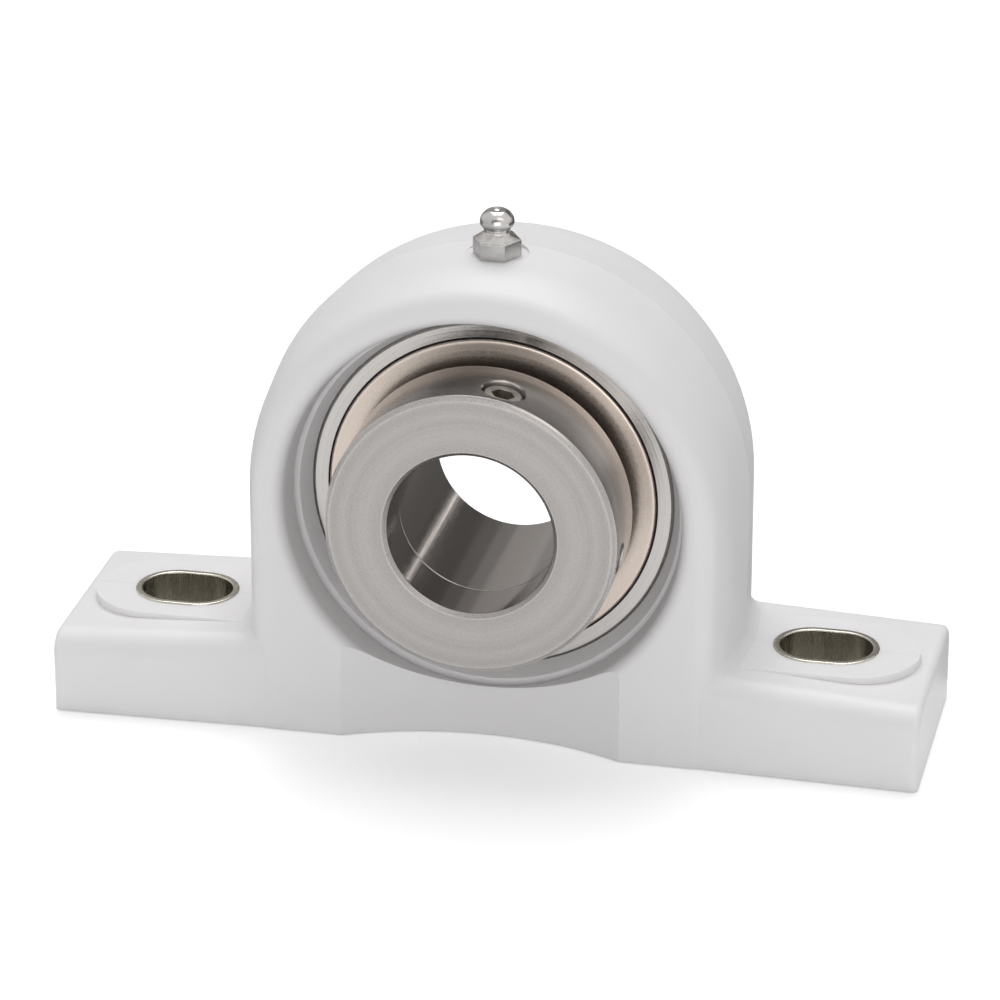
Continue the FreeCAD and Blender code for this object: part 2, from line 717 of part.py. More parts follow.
def add_openings(body):
    """Cut the bolt slots, the nipple seat with its grease hole, and the pin slot."""
    slots = new_sketch(body, "bolt_slots")
    for side in ("", "-"):
        draw_racetrack(slots, side + "bolt_spacing / 2", "0",
                       "sleeve_half_length - sleeve_half_width",
                       "sleeve_half_width + press_gap")
    extrude(slots, "Pocket", "axis_height", backward=True)
    nipple_depth = "-nipple_setback"
    spot = new_sketch(body, "spot_face", lift="spot_face_height")
    draw_circle(spot, "0", nipple_depth, "spot_face_radius")
    extrude(spot, "Pocket", "arch_radius", backward=True)
    hole = new_sketch(body, "nipple_hole", lift="spot_face_height")
    draw_circle(hole, "0", nipple_depth, "thread_radius + thread_gap")
    extrude(hole, "Pocket", "nipple_hole_depth")
    passage = new_sketch(body, "grease_passage", lift="spot_face_height")
    draw_circle(passage, "0", nipple_depth, "grease_passage_radius")
    extrude(passage, "Pocket", "spot_face_height - axis_height - ring_shoulder_radius")
    slot = new_sketch(body, "pin_slot", lift="axis_height")
    draw_racetrack(slot, "0", "0", "pin_slot_travel", "pin_radius + pin_slot_gap", upright=True)
    extrude(slot, "Pocket", "pin_slot_reach")


def build_housing(doc):
    """The moulded block: two feet, an arch and the seat for the insert."""
    body = new_body(doc, "housing")
    add_arch(body)
    add_feet(body)
    add_troughs(body)
    add_recess(body)
    add_cored_underside(body)
    add_openings(body)
    end = number(doc, "half_length")

    def on_end_face(edge):
        box = edge.BoundBox
        flat = box.XLength < 1e-3 and abs(abs(box.XMin) - end) < 1e-3
        return flat and box.ZMax > 1e-3
    dress_edges(body, "Fillet", "foot_end_rounds", "foot_end_round", on_end_face)
    return body


def build_sleeve(doc, label, side):
    """A drawn metal sleeve lining one bolt slot."""
    body = new_body(doc, label, side + "bolt_spacing / 2")
    outline = new_sketch(body, "outline")
    straight = "sleeve_half_length - sleeve_half_width"
    draw_racetrack(outline, "0", "0", straight, "sleeve_half_width")
    draw_racetrack(outline, "0", "0", straight, "sleeve_half_width - sleeve_thickness")
    extrude(outline, "Pad", "sleeve_height")
    top = number(doc, "sleeve_height")

    def on_top(edge):
        return edge.BoundBox.ZMin > top - 1e-3
    dress_edges(body, "Chamfer", "rim", "sleeve_chamfer", on_top)
    return body


# Grease nipple

def nipple_place():
    """Return the depth and height of the nipple's foot."""
    return {"depth": "-nipple_setback", "height": "spot_face_height"}


def build_nipple_body(doc):
    """The nipple: threaded shank, hexagon, neck and round head, bored for its valve."""
    body = new_body(doc, "nipple_body", **nipple_place())
    shape = new_sketch(body, "profile", "XZ_Plane")
    draw_outline(shape, [
        Corner("0", "-thread_length"),
        Corner("thread_radius", "-thread_length"),
        Corner("thread_radius", "0"),
        Corner("nipple_hex_half_flats", "0"),
        Corner("nipple_hex_half_flats", "nipple_hex_height"),
        Corner("nipple_neck_radius", "nipple_cone_height"),
        Corner("nipple_neck_radius", "nipple_neck_height"),
        Corner("nipple_head_radius", "nipple_head_low"),
        Corner("nipple_head_radius", "nipple_head_high"),
        Corner("nipple_top_radius", "nipple_top_height"),
        Corner("0", "nipple_top_height"),
    ])
    turn_solid(shape)
    hexagon = new_sketch(body, "hexagon")
    draw_hexagon(hexagon, "nipple_hex_half_flats")
    extrude(hexagon, "Pad", "nipple_hex_height")
    bore = new_sketch(body, "bore", "XZ_Plane")
    seat = "nipple_top_height - nipple_mouth_depth"
    draw_outline(bore, [
        Corner("0", "-(thread_length + thread_radius)"),
        Corner("valve_passage_radius", "-(thread_length + thread_radius)"),
        Corner("valve_passage_radius", "valve_cavity_floor"),
        Corner("valve_cavity_radius", "valve_cavity_floor"),
        Corner("valve_cavity_radius", seat + " - valve_cone_depth"),
        Corner("nipple_mouth_radius", seat),
        Corner("nipple_mouth_radius", "nipple_top_height + nipple_top_radius"),
        Corner("0", "nipple_top_height + nipple_top_radius"),
    ])
    turn_solid(bore, "Groove")
    return body


def valve_ball_height():
    """Return the height of the valve ball's centre above the nipple's foot."""
    drop = "sqrt(valve_ball_radius ^ 2 - nipple_mouth_radius ^ 2)"
    return "nipple_top_height - nipple_mouth_depth - valve_ball_gap - " + drop


def build_nipple_ball(doc):
    """The ball that closes the nipple's mouth."""
    ball = doc.addObject("Part::Sphere", "nipple_ball")
    ball.setExpression("Radius", bound("valve_ball_radius"))
    ball.setExpression("Placement.Base.y", bound("-nipple_setback"))
    ball.setExpression("Placement.Base.z", bound("spot_face_height + " + valve_ball_height()))
    return ball


def build_nipple_spring(doc):
    """The coil spring that holds the valve ball against its mouth."""
    body = new_body(doc, "nipple_spring", **nipple_place())
    start = "valve_cavity_floor + spring_wire_radius"
    wire = new_sketch(body, "wire", "XZ_Plane")
    draw_circle(wire, "spring_mean_radius", start, "spring_wire_radius")
    reach = "sqrt((valve_ball_radius + spring_wire_radius) ^ 2 - spring_mean_radius ^ 2)"
    height = "%s - %s - valve_ball_gap - (%s)" % (valve_ball_height(), reach, start)
    coil = body.newObject("PartDesign::AdditiveHelix", "nipple_spring_coil")
    coil.Profile = wire
    coil.ReferenceAxis = (wire, ["V_Axis"])
    coil.Mode = 0
    coil.setExpression("Height", bound(height))
    coil.setExpression("Pitch", bound("(%s) / spring_turns" % height))
    return body


def build_locating_pin(doc):
    """The pin that keeps the outer ring from turning but lets it tilt."""
    body = new_body(doc, "locating_pin", height="axis_height")
    shape = new_sketch(body, "profile", "XZ_Plane")
    draw_outline(shape, [
        Corner("0", "-pin_outer_reach"),
        Corner("pin_radius - pin_chamfer", "-pin_outer_reach"),
        Corner("pin_radius", "-pin_outer_reach + pin_chamfer"),
        Corner("pin_radius", "-pin_inner_reach - pin_chamfer"),
        Corner("pin_radius - pin_chamfer", "-pin_inner_reach"),
        Corner("0", "-pin_inner_reach"),
    ])
    turn_solid(shape)
    return body


# Ball bearing insert

def insert_body(doc, label):
    """Start a body whose Y axis is the shaft axis."""
    return new_body(doc, label, height="axis_height")


def raceway(wall, outward):
    """Return the depth at which a ball groove meets its shoulder."""
    floor = "outer_floor_radius - raceway_radius" if outward else "inner_floor_radius + raceway_radius"
    return "sqrt(raceway_radius ^ 2 - (%s - (%s)) ^ 2)" % (wall, floor)


def build_outer_ring(doc):
    """The outer ring: ball-shaped outside, grease groove, seal seats and raceway."""
    body = insert_body(doc, "outer_ring")
    shape = new_sketch(body, "profile")
    chamfer_depth = "(ring_half_width - ring_chamfer_depth)"
    sphere = "sqrt(ring_radius ^ 2 - %s ^ 2)"
    wall = "ring_shoulder_radius"
    outside = [
        Corner(sphere % chamfer_depth, "-" + chamfer_depth, None, "ring_radius", "right"),
        Corner(sphere % "grease_groove_far", "-grease_groove_far"),
        Corner("grease_groove_radius", "-grease_groove_far"),
        Corner("grease_groove_radius", "-grease_groove_near"),
        Corner(sphere % "grease_groove_near", "-grease_groove_near", None,
               "ring_radius", "right"),
        Corner(sphere % chamfer_depth, chamfer_depth),
    ]
    rear = [
        Corner("ring_face_radius", "ring_half_width"),
        Corner("ring_bore_radius", "ring_half_width"),
        Corner("ring_bore_radius", "seal_groove_outer"),
        Corner("seal_groove_radius", "seal_groove_outer"),
        Corner("seal_groove_radius", "seal_groove_inner"),
        Corner(wall, "seal_groove_inner"),
        Corner(wall, raceway(wall, True), None, "raceway_radius", "left"),
    ]
    front = [Corner(c.u, "-" + c.v) for c in reversed(rear)]
    draw_outline(shape, outside + rear + front)
    turn_solid(shape)
    pin = radial_sketch(body, "pin_hole", "-90", "pin_hole_floor", "0")
    draw_circle(pin, "0", "0", "pin_radius + pin_hole_gap")
    extrude(pin, "Pocket", "ring_radius", backward=True)
    for name, angle in (("right", "grease_hole_angle"), ("left", "180 - grease_hole_angle")):
        hole = radial_sketch(body, name + "_grease_hole", angle,
                             "core_inner_radius", "-grease_hole_depth")
        draw_circle(hole, "0", "0", "grease_hole_radius")
        extrude(hole, "Pocket", "ring_radius", backward=True)
    return body


def build_inner_ring(doc):
    """The extended inner ring with its raceway, neck and eccentric end."""
    body = insert_body(doc, "inner_ring")
    shape = new_sketch(body, "profile")
    wall = "inner_shoulder_radius"
    draw_outline(shape, [
        Corner("bore_radius", "-neck_front"),
        Corner("neck_radius", "-neck_front"),
        Corner("neck_radius", "-inner_shoulder_front"),
        Corner(wall, "-inner_shoulder_front"),
        Corner(wall, "-" + raceway(wall, False), None, "raceway_radius", "left"),
        Corner(wall, raceway(wall, False)),
        Corner(wall, "inner_rear_depth - inner_rear_chamfer"),
        Corner(wall + " - inner_rear_chamfer", "inner_rear_depth"),
        Corner("bore_radius + bore_chamfer", "inner_rear_depth"),
        Corner("bore_radius", "inner_rear_depth - bore_chamfer"),
    ])
    turn_solid(shape)
    cam = new_sketch(body, "cam", "XZ_Plane", "neck_front")
    draw_circle(cam, "cam_offset * cos(cam_angle * 1 deg)",
                "cam_offset * sin(cam_angle * 1 deg)", "cam_radius")
    extrude(cam, "Pad", "cam_front - neck_front")
    bore = new_sketch(body, "bore", "XZ_Plane", "cam_front")
    draw_circle(bore, "0", "0", "bore_radius")
    extrude(bore, "Pocket", "cam_front")
    front = -number(doc, "cam_front")

    def on_cam_front(edge):
        return edge.BoundBox.YMax < front + 1e-3
    dress_edges(body, "Chamfer", "cam_edges", "cam_chamfer", on_cam_front)
    return body


def build_seal(doc, label, side):
    """A rubber seal: outer bead, thin web, inner lip and a ridge toward the flinger."""
    body = insert_body(doc, label)
    shape = new_sketch(body, "profile")
    inner = "seal_groove_inner + seal_gap"
    outer = "seal_groove_outer - seal_gap"
    web = "%s + seal_plate_thickness" % inner
    bead = "seal_groove_radius - seal_gap"
    lip = "seal_lip_radius + seal_lip_thickness"
    corners = [
        ("core_outer_radius", inner),
        (bead, inner),
        (bead, outer),
        ("seal_ridge_radius + seal_ridge_thickness", outer),
        ("seal_ridge_radius + seal_ridge_thickness / 2", "seal_ridge_reach"),
        ("seal_ridge_radius", outer),
        ("seal_inner_radius", outer),
        ("seal_lip_radius", inner),
        (lip, inner + " - seal_lip_thickness / 2"),
        ("seal_inner_radius + seal_lip_thickness", web),
        ("core_outer_radius", web),
    ]
    draw_outline(shape, [Corner(u, mirrored_text(side, v)) for u, v in corners])
    turn_solid(shape)
    return body


def build_seal_core(doc, label, side):
    """The steel stiffening washer on the ball side of a seal."""
    body = insert_body(doc, label)
    shape = new_sketch(body, "profile")
    near = mirrored_text(side, "seal_groove_inner + seal_gap")
    far = mirrored_text(side, "seal_groove_inner + seal_gap + seal_plate_thickness")
    draw_outline(shape, [Corner("core_inner_radius", near), Corner("core_outer_radius", near),
                         Corner("core_outer_radius", far), Corner("core_inner_radius", far)])
    turn_solid(shape)
    return body


def build_flinger(doc, label, side):
    """A pressed steel flinger: hub on the inner ring, flat disc, rim turned inward."""
    body = insert_body(doc, label)
    shape = new_sketch(body, "profile")
    bore = "inner_shoulder_radius + press_gap"
    back = "flinger_face_depth - flinger_thickness"
    corners = [
        (bore, "flinger_hub_depth", None),
        (bore + " + flinger_thickness", "flinger_hub_depth", None),
        (bore + " + flinger_thickness", back, None),
        ("flinger_radius - flinger_thickness", back, None),
        ("flinger_radius - flinger_thickness", "flinger_rim_depth", None),
        ("flinger_radius", "flinger_rim_depth", None),
        ("flinger_radius", "flinger_face_depth", "flinger_corner_round"),
        (bore, "flinger_face_depth", "flinger_corner_round"),
    ]
    draw_outline(shape, [Corner(u, mirrored_text(side, v), r) for u, v, r in corners])
    turn_solid(shape)
    return body


def build_cage_half(doc, label, side):
    """One pressed half of the ribbon cage: a flat ring with a cup for every ball."""
    body = insert_body(doc, label)
    pocket = "ball_radius + cage_ball_gap"
    cup_reach = "(%s + cage_thickness)" % pocket
    plate = new_sketch(body, "plate")
    near, far = "0", mirrored_text(side, "cage_thickness")
    draw_outline(plate, [Corner("cage_inner_radius", near), Corner("cage_outer_radius", near),
                         Corner("cage_outer_radius", far), Corner("cage_inner_radius", far)])
    turn_solid(plate)
    cup = new_sketch(body, "cup")
    draw_half_disc(cup, "ball_pitch_radius", cup_reach)
    repeat_round(body, turn_solid(cup, "Revolution", "H_Axis"), "ball_count")
    trim = new_sketch(body, "trim")
    deep = mirrored_text(side, "2 * " + cup_reach)
    back = mirrored_text(-side, "2 * " + cup_reach)
    beyond = "cage_outer_radius + " + cup_reach
    draw_outline(trim, [Corner("0", deep), Corner("cage_inner_radius", deep),
                        Corner("cage_inner_radius", "0"), Corner("cage_outer_radius", "0"),
                        Corner("cage_outer_radius", deep), Corner(beyond, deep),
                        Corner(beyond, back), Corner("0", back)])
    turn_solid(trim, "Groove")
    hollow = new_sketch(body, "pocket")
    draw_half_disc(hollow, "ball_pitch_radius", pocket)
    repeat_round(body, turn_solid(hollow, "Groove", "H_Axis"), "ball_count")
    hole = new_sketch(body, "rivet_hole", "XZ_Plane")
    half_step = "(180 / ball_count * 1 deg)"
    draw_circle(hole, "ball_pitch_radius * cos" + half_step,
                "ball_pitch_radius * sin" + half_step, "rivet_radius + rivet_gap")
    drilled = extrude(hole, "Pocket", cup_reach, backward=side < 0)
    repeat_round(body, drilled, "ball_count")
    return body


def build_cage_rivets(doc):
    """The rivets that hold the two cage halves together, one between each two balls."""
    body = insert_body(doc, "cage_rivets")
    body.AllowCompound = True
    shape = new_sketch(body, "profile")
    half_step = "(180 / ball_count * 1 deg)"
    shape.setExpression("AttachmentOffset.Base.x", bound("ball_pitch_radius * cos" + half_step))
    shape.setExpression("AttachmentOffset.Base.z", bound("ball_pitch_radius * sin" + half_step))
    seat = "cage_thickness"
    top = "cage_thickness + rivet_head_height"
    draw_outline(shape, [
        Corner("0", "-(%s)" % top),
        Corner("rivet_head_radius / 2", "-(%s)" % top),
        Corner("rivet_head_radius", "-" + seat),
        Corner("rivet_radius", "-" + seat),
        Corner("rivet_radius", seat),
        Corner("rivet_head_radius", seat),
        Corner("rivet_head_radius / 2", top),
        Corner("0", top),
    ])
    repeat_round(body, turn_solid(shape), "ball_count")
    return body


def build_ball(doc, index):
    """One ball of the row; the first stands on the right."""
    ball = doc.addObject("Part::Sphere", "ball_%d" % (index + 1))
    angle = "(%d * 360 / ball_count * 1 deg)" % index
    ball.setExpression("Radius", bound("ball_radius"))
    ball.setExpression("Placement.Base.x", bound("ball_pitch_radius * cos" + angle))
    ball.setExpression("Placement.Base.z", bound("axis_height + ball_pitch_radius * sin" + angle))
    return ball


# Eccentric locking collar

def build_locking_collar(doc):
    """The collar: an eccentric counterbore over the cam, a screw hole and a drift hole."""
    body = insert_body(doc, "locking_collar")
    shape = new_sketch(body, "profile")
    edge = "collar_radius - collar_chamfer"
    draw_outline(shape, [
        Corner("bore_radius + bore_chamfer", "-collar_front"),
        Corner(edge, "-collar_front"),
        Corner("collar_radius", "-collar_front + collar_chamfer"),
        Corner("collar_radius", "-collar_back - collar_chamfer"),
        Corner(edge, "-collar_back"),
        Corner("bore_radius", "-collar_back"),
        Corner("bore_radius", "-collar_front + bore_chamfer"),
    ])
    turn_solid(shape)
    seat = new_sketch(body, "cam_seat", "XZ_Plane", "collar_cam_floor")
    draw_circle(seat, "cam_offset * cos(cam_angle * 1 deg)",
                "cam_offset * sin(cam_angle * 1 deg)", "cam_radius + collar_cam_gap")
    extrude(seat, "Pocket", "collar_cam_floor")
    screw = radial_sketch(body, "screw_hole", "screw_angle", "0", "-screw_depth")
    draw_circle(screw, "0", "0", "screw_radius + screw_gap")
    extrude(screw, "Pocket", "2 * collar_radius", backward=True)
    drift = radial_sketch(body, "drift_hole", "drift_hole_angle",
                          "drift_hole_floor", "-drift_hole_place")
    draw_circle(drift, "0", "0", "drift_hole_radius")
    extrude(drift, "Pocket", "collar_radius", backward=True)
    return body


def build_set_screw(doc):
    """The set screw with its hexagon socket, its point at the wall of the bore."""
    body = new_body(doc, "set_screw", depth="-screw_depth", height="axis_height")
    upright = FreeCAD.Rotation(FreeCAD.Vector(0, 1, 0), 10)
    body.Placement = FreeCAD.Placement(body.Placement.Base, upright)
    body.setExpression("Placement.Rotation.Angle", bound("90 - screw_angle"))
    tip = "bore_radius + screw_tip_gap"
    top = "bore_radius + screw_tip_gap + screw_length"
    shape = new_sketch(body, "profile", "XZ_Plane")
    draw_outline(shape, [
        Corner("0", tip),
        Corner("screw_point_radius", tip),
        Corner("screw_radius", tip + " + screw_radius - screw_point_radius"),
        Corner("screw_radius", top + " - screw_chamfer"),
        Corner("screw_radius - screw_chamfer", top),
        Corner("0", top),
    ])
    turn_solid(shape)
    socket = new_sketch(body, "socket", lift=top)
    draw_hexagon(socket, "socket_half_flats")
    extrude(socket, "Pocket", "socket_depth")
    cone = new_sketch(body, "socket_cone", "XZ_Plane")
    floor = top + " - socket_depth"
    draw_outline(cone, [
        Corner("0", "%s - socket_cone_depth" % floor),
        Corner("socket_half_flats", floor),
        Corner("socket_half_flats", "%s + socket_cone_depth" % floor),
        Corner("0", "%s + socket_cone_depth" % floor),
    ])
    turn_solid(cone, "Groove")
    return body


def build_all(doc):
    """Build every separate piece and return them in a fixed order."""
    pieces = [
        build_housing(doc),
        build_sleeve(doc, "left_bolt_sleeve", "-"),
        build_sleeve(doc, "right_bolt_sleeve", ""),
        build_nipple_body(doc),
        build_nipple_ball(doc),
        build_nipple_spring(doc),
        build_locating_pin(doc),
        build_outer_ring(doc),
        build_inner_ring(doc),
        build_cage_rivets(doc),
        build_locking_collar(doc),
        build_set_screw(doc),
    ]
    for end, side in (("front", -1), ("rear", 1)):
        pieces.append(build_seal(doc, end + "_seal", side))
        pieces.append(build_seal_core(doc, end + "_seal_core", side))
        pieces.append(build_flinger(doc, end + "_flinger", side))
        pieces.append(build_cage_half(doc, "cage_%s_half" % end, side))
    pieces += [build_ball(doc, index) for index in range(SIZES["ball_count"])]
    return pieces


def check_document(doc, pieces):
    """Stop if any object failed, or any piece is empty or broken."""
    for item in doc.Objects:
        if "Invalid" in item.State or "Error" in item.State:
            raise RuntimeError("%s did not build: %s" % (item.Name, item.State))
        if item.isDerivedFrom("Sketcher::SketchObject") and not item.FullyConstrained:
            raise RuntimeError("%s is not fully dimensioned" % item.Name)
    for piece in pieces:
        if piece.Shape.isNull() or not piece.Shape.isValid() or piece.Shape.Volume <= 0:
            raise RuntimeError("%s has no sound shape" % piece.Label)


def main():
    """Build the document, check it and write one file for each piece."""
    doc = FreeCAD.newDocument("PillowBlockBearing")
    fill_sheet(doc)
    pieces = build_all(doc)
    doc.recompute()
    check_document(doc, pieces)
    os.makedirs(EXPORT_FOLDER, exist_ok=True)
    for piece in pieces:
        piece.Shape.exportStep(os.path.join(EXPORT_FOLDER, piece.Label + ".step"))


main()
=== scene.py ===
"""Looks of a pillow block bearing: white plastic block, steel insert and eccentric collar."""

import logging
import math
from dataclasses import dataclass, field
from enum import Enum
from typing import Sequence

import bmesh
import bpy
import numpy as np
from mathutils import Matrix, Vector


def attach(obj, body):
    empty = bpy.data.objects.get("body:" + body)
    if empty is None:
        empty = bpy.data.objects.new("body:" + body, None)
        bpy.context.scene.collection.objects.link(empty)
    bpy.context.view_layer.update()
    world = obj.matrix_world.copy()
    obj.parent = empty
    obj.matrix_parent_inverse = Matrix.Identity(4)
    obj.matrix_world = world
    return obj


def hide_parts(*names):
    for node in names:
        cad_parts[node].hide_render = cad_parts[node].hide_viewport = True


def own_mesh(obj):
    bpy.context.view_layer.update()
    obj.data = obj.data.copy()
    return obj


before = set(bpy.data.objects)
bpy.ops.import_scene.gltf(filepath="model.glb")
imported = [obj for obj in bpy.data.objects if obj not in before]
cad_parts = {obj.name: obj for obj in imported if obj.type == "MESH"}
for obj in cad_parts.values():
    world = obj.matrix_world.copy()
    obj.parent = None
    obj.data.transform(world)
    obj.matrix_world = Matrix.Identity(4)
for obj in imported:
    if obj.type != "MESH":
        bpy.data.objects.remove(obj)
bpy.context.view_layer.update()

MILLIMETRE = 0.001
SHAFT_HEIGHT = 47.6
MERGE_DISTANCE = 1e-6
SHARP_TURN = math.radians(38.0)
EDGE_MASK = "edge_mask"
ON_AXIS = 1e-5
NO_LENGTH = 1e-12
NOISE_LOW, NOISE_HIGH = 0.3, 0.7
BROAD_SCALE, BROAD_SHARE = 0.45, 0.25
STREAK_DRIFT = 0.0012
WEAR_GAIN = 1.6
CARD_TINT = (1.0, 0.95, 0.92, 1.0)

Triple = tuple[float, float, float]
Socket = bpy.types.NodeSocket

log = logging.getLogger("pillow_block")


# Surfaces worked out as whole arrays, in millimetres


class Turn(Enum):
    """How a station of a turned profile goes round its axis."""

    ROUND = 0
    OFFSET = 1
    HEXAGON = 2


@dataclass(frozen=True)
class Knot:
    """One corner of a profile: reach from the axis, depth along it and corner rounding."""

    reach: float
    depth: float
    rounding: float = 0.0
    turn: Turn = Turn.ROUND


@dataclass(frozen=True)
class Hole:
    """A round hole drilled from outside toward the axis of a turned piece.

    Its rim replaces a block of the grid between two stations and two columns.
    """

    angle: float
    depth: float
    radius: float
    floor: float
    half_columns: int
    first_depth: float
    last_depth: float
    rim: float = 0.25
    rings: int = 6
    support: float = 0.2
    floor_margin: float = 0.3
    tip: float = 0.02
    crowding: float = 1.3


@dataclass(frozen=True)
class Axes:
    """An origin with two directions across an axis and one along it."""

    origin: Triple
    across: Triple
    upward: Triple
    along: Triple


SHAFT_AXES = Axes((0, 0, SHAFT_HEIGHT), (1, 0, 0), (0, 0, 1), (0, 1, 0))


def arc_knots(
    centre: tuple[float, float], radius: float, start: float, finish: float, steps: int
) -> list[Knot]:
    """Return knots along a circular arc of the profile.

    A knot is the centre plus the radius times the cosine and sine of its angle.

    Args:
        centre: Reach and depth of the arc's centre.
        radius: Radius of the arc.
        start: First angle, in degrees, counted from the outward direction.
        finish: Last angle, in degrees.
        steps: Number of equal steps.

    Returns:
        The knots, both ends among them.
    """
    angle = np.radians(np.linspace(start, finish, steps + 1))
    places = np.column_stack([centre[0] + radius * np.cos(angle), centre[1] + radius * np.sin(angle)])
    return [Knot(*place) for place in places.tolist()]


def wall_knots(reach: float, first: float, last: float, rows: int) -> list[Knot]:
    """Return evenly spaced knots along a straight wall parallel to the axis.

    Args:
        reach: Distance of the wall from the axis.
        first: Depth of the first knot.
        last: Depth of the last knot.
        rows: Number of equal steps.

    Returns:
        The knots, both ends among them.
    """
    return [Knot(reach, depth) for depth in np.linspace(first, last, rows + 1).tolist()]


@dataclass
class Stations:
    """A profile ready to be turned: places, edge mask and the way each one goes round."""

    places: np.ndarray
    mask: np.ndarray
    turns: np.ndarray


def unit(vectors: np.ndarray) -> np.ndarray:
    """Return vectors divided by their own lengths, where they have one."""
    length = np.linalg.norm(vectors, axis=-1, keepdims=True)
    return vectors / np.maximum(length, NO_LENGTH)


def rounded_stations(knots: Sequence[Knot], steps: int = 4, support: float = 0.25) -> Stations:
    """Round the corners of a closed outline and add support stations beside them.

    An arc starts before its corner by the radius times the tangent of half the turn. A point
    on it is its start, plus the radius times the sine of the angle passed along the arriving
    edge, plus the radius times one minus the cosine of that angle toward the inside.

    Args:
        knots: Corners in order.
        steps: Steps in each rounding.
        support: Distance of the support stations from the ends of long straight edges.

    Returns:
        The stations of the rounded outline.
    """
    places = np.array([(k.reach, k.depth) for k in knots])
    radius = np.array([k.rounding for k in knots])
    turns = np.array([k.turn.value for k in knots])
    arrive = unit(places - np.roll(places, 1, axis=0))
    leave = unit(np.roll(places, -1, axis=0) - places)
    cross = arrive[:, 0] * leave[:, 1] - arrive[:, 1] * leave[:, 0]
    bend = np.arctan2(cross, np.einsum("ij,ij->i", arrive, leave))
    start = places - arrive * (radius * np.tan(np.abs(bend) / 2))[:, None]
    inward = np.column_stack([-arrive[:, 1], arrive[:, 0]]) * np.sign(bend)[:, None]
    passed = np.abs(bend)[:, None] * np.linspace(0, 1, steps + 1)
    arcs = start[:, None] + radius[:, None, None] * (
        np.sin(passed)[..., None] * arrive[:, None] + (1 - np.cos(passed))[..., None] * inward[:, None]
    )
    real = (radius > 0)[:, None] | (np.arange(steps + 1) == 0)
    mask = np.broadcast_to((radius > 0)[:, None], real.shape).astype(float)
    whole = Stations(arcs[real], mask[real], np.repeat(turns[:, None], steps + 1, axis=1)[real])
    ahead = np.roll(whole.places, -1, axis=0) - whole.places
    length = np.linalg.norm(ahead, axis=1)
    step = unit(ahead) * support
    trio = np.stack([whole.places, whole.places + step, whole.places + ahead - step], axis=1)
    same = whole.turns == np.roll(whole.turns, -1)
    long_edge = (length > 3 * support) & same
    shown = np.column_stack([np.ones_like(same), long_edge, long_edge])
    masks = np.column_stack([whole.mask, np.zeros((len(whole.mask), 2))])
    return Stations(trio[shown], masks[shown], np.repeat(whole.turns[:, None], 3, axis=1)[shown])


def grid_quads(rows: int, columns: int, closed: bool) -> np.ndarray:
    """Return quads between neighbours of a grid whose columns wrap round.

    Args:
        rows: Number of stations.
        columns: Number of points round the axis.
        closed: Whether the last station joins the first.

    Returns:
        An array of row, column and four point numbers, shaped (rows, columns, 4).
    """
    low = np.arange(rows if closed else rows - 1)[:, None]
    left = np.arange(columns)[None, :]
    high, right = (low + 1) % rows, (left + 1) % columns
    corners = [low * columns + left, low * columns + right, high * columns + right, high * columns + left]
    return np.stack(np.broadcast_arrays(*corners), axis=-1)


def signed_volume(points: np.ndarray, faces: np.ndarray) -> float:
    """Return a mesh's signed volume: a sixth of the sum of its triangles' triple products."""
    first, second, third, fourth = (points[faces[:, i]] for i in range(4))
    triple = np.einsum("ij,ij->i", first, np.cross(second, third))
    triple += np.einsum("ij,ij->i", first, np.cross(third, fourth))
    return float(triple.sum() / 6)


def linked(name: str, data: bpy.types.ID) -> bpy.types.Object:
    """Return a new object that shows the data, linked to the scene."""
    thing = bpy.data.objects.new(name, data)
    bpy.context.scene.collection.objects.link(thing)
    return thing


class Surface:
    """Points, quads and an edge mask that together make one closed piece."""

    def __init__(self, points: np.ndarray, quads: np.ndarray, mask: np.ndarray) -> None:
        """Keep the arrays, with the faces turned outward."""
        self.points = points
        self.quads = quads if signed_volume(points, quads) > 0 else quads[:, ::-1]
        self.mask = mask

    def piece(self, name: str) -> bpy.types.Object:
        """Put the surface into a new mesh object at the origin.

        Args:
            name: Name of the piece.

        Returns:
            The new object, with doubles merged and smooth shading.
        """
        mesh = bpy.data.meshes.new(name)
        mesh.from_pydata((self.points * MILLIMETRE).tolist(), [], self.quads.tolist())
        layer = mesh.attributes.new(EDGE_MASK, "FLOAT", "POINT")
        layer.data.foreach_set("value", self.mask.astype(np.float32))
        work = bmesh.new()
        work.from_mesh(mesh)
        bmesh.ops.remove_doubles(work, verts=work.verts, dist=MERGE_DISTANCE)
        bmesh.ops.dissolve_degenerate(work, edges=work.edges, dist=MERGE_DISTANCE / 10)
        work.to_mesh(mesh)
        work.free()
        mesh.polygons.foreach_set("use_smooth", np.ones(len(mesh.polygons), bool))
        mesh.set_sharp_from_angle(angle=SHARP_TURN)
        thing = linked(name, mesh)
        normals = thing.modifiers.new("weighted normals", "WEIGHTED_NORMAL")
        normals.keep_sharp = True
        return thing


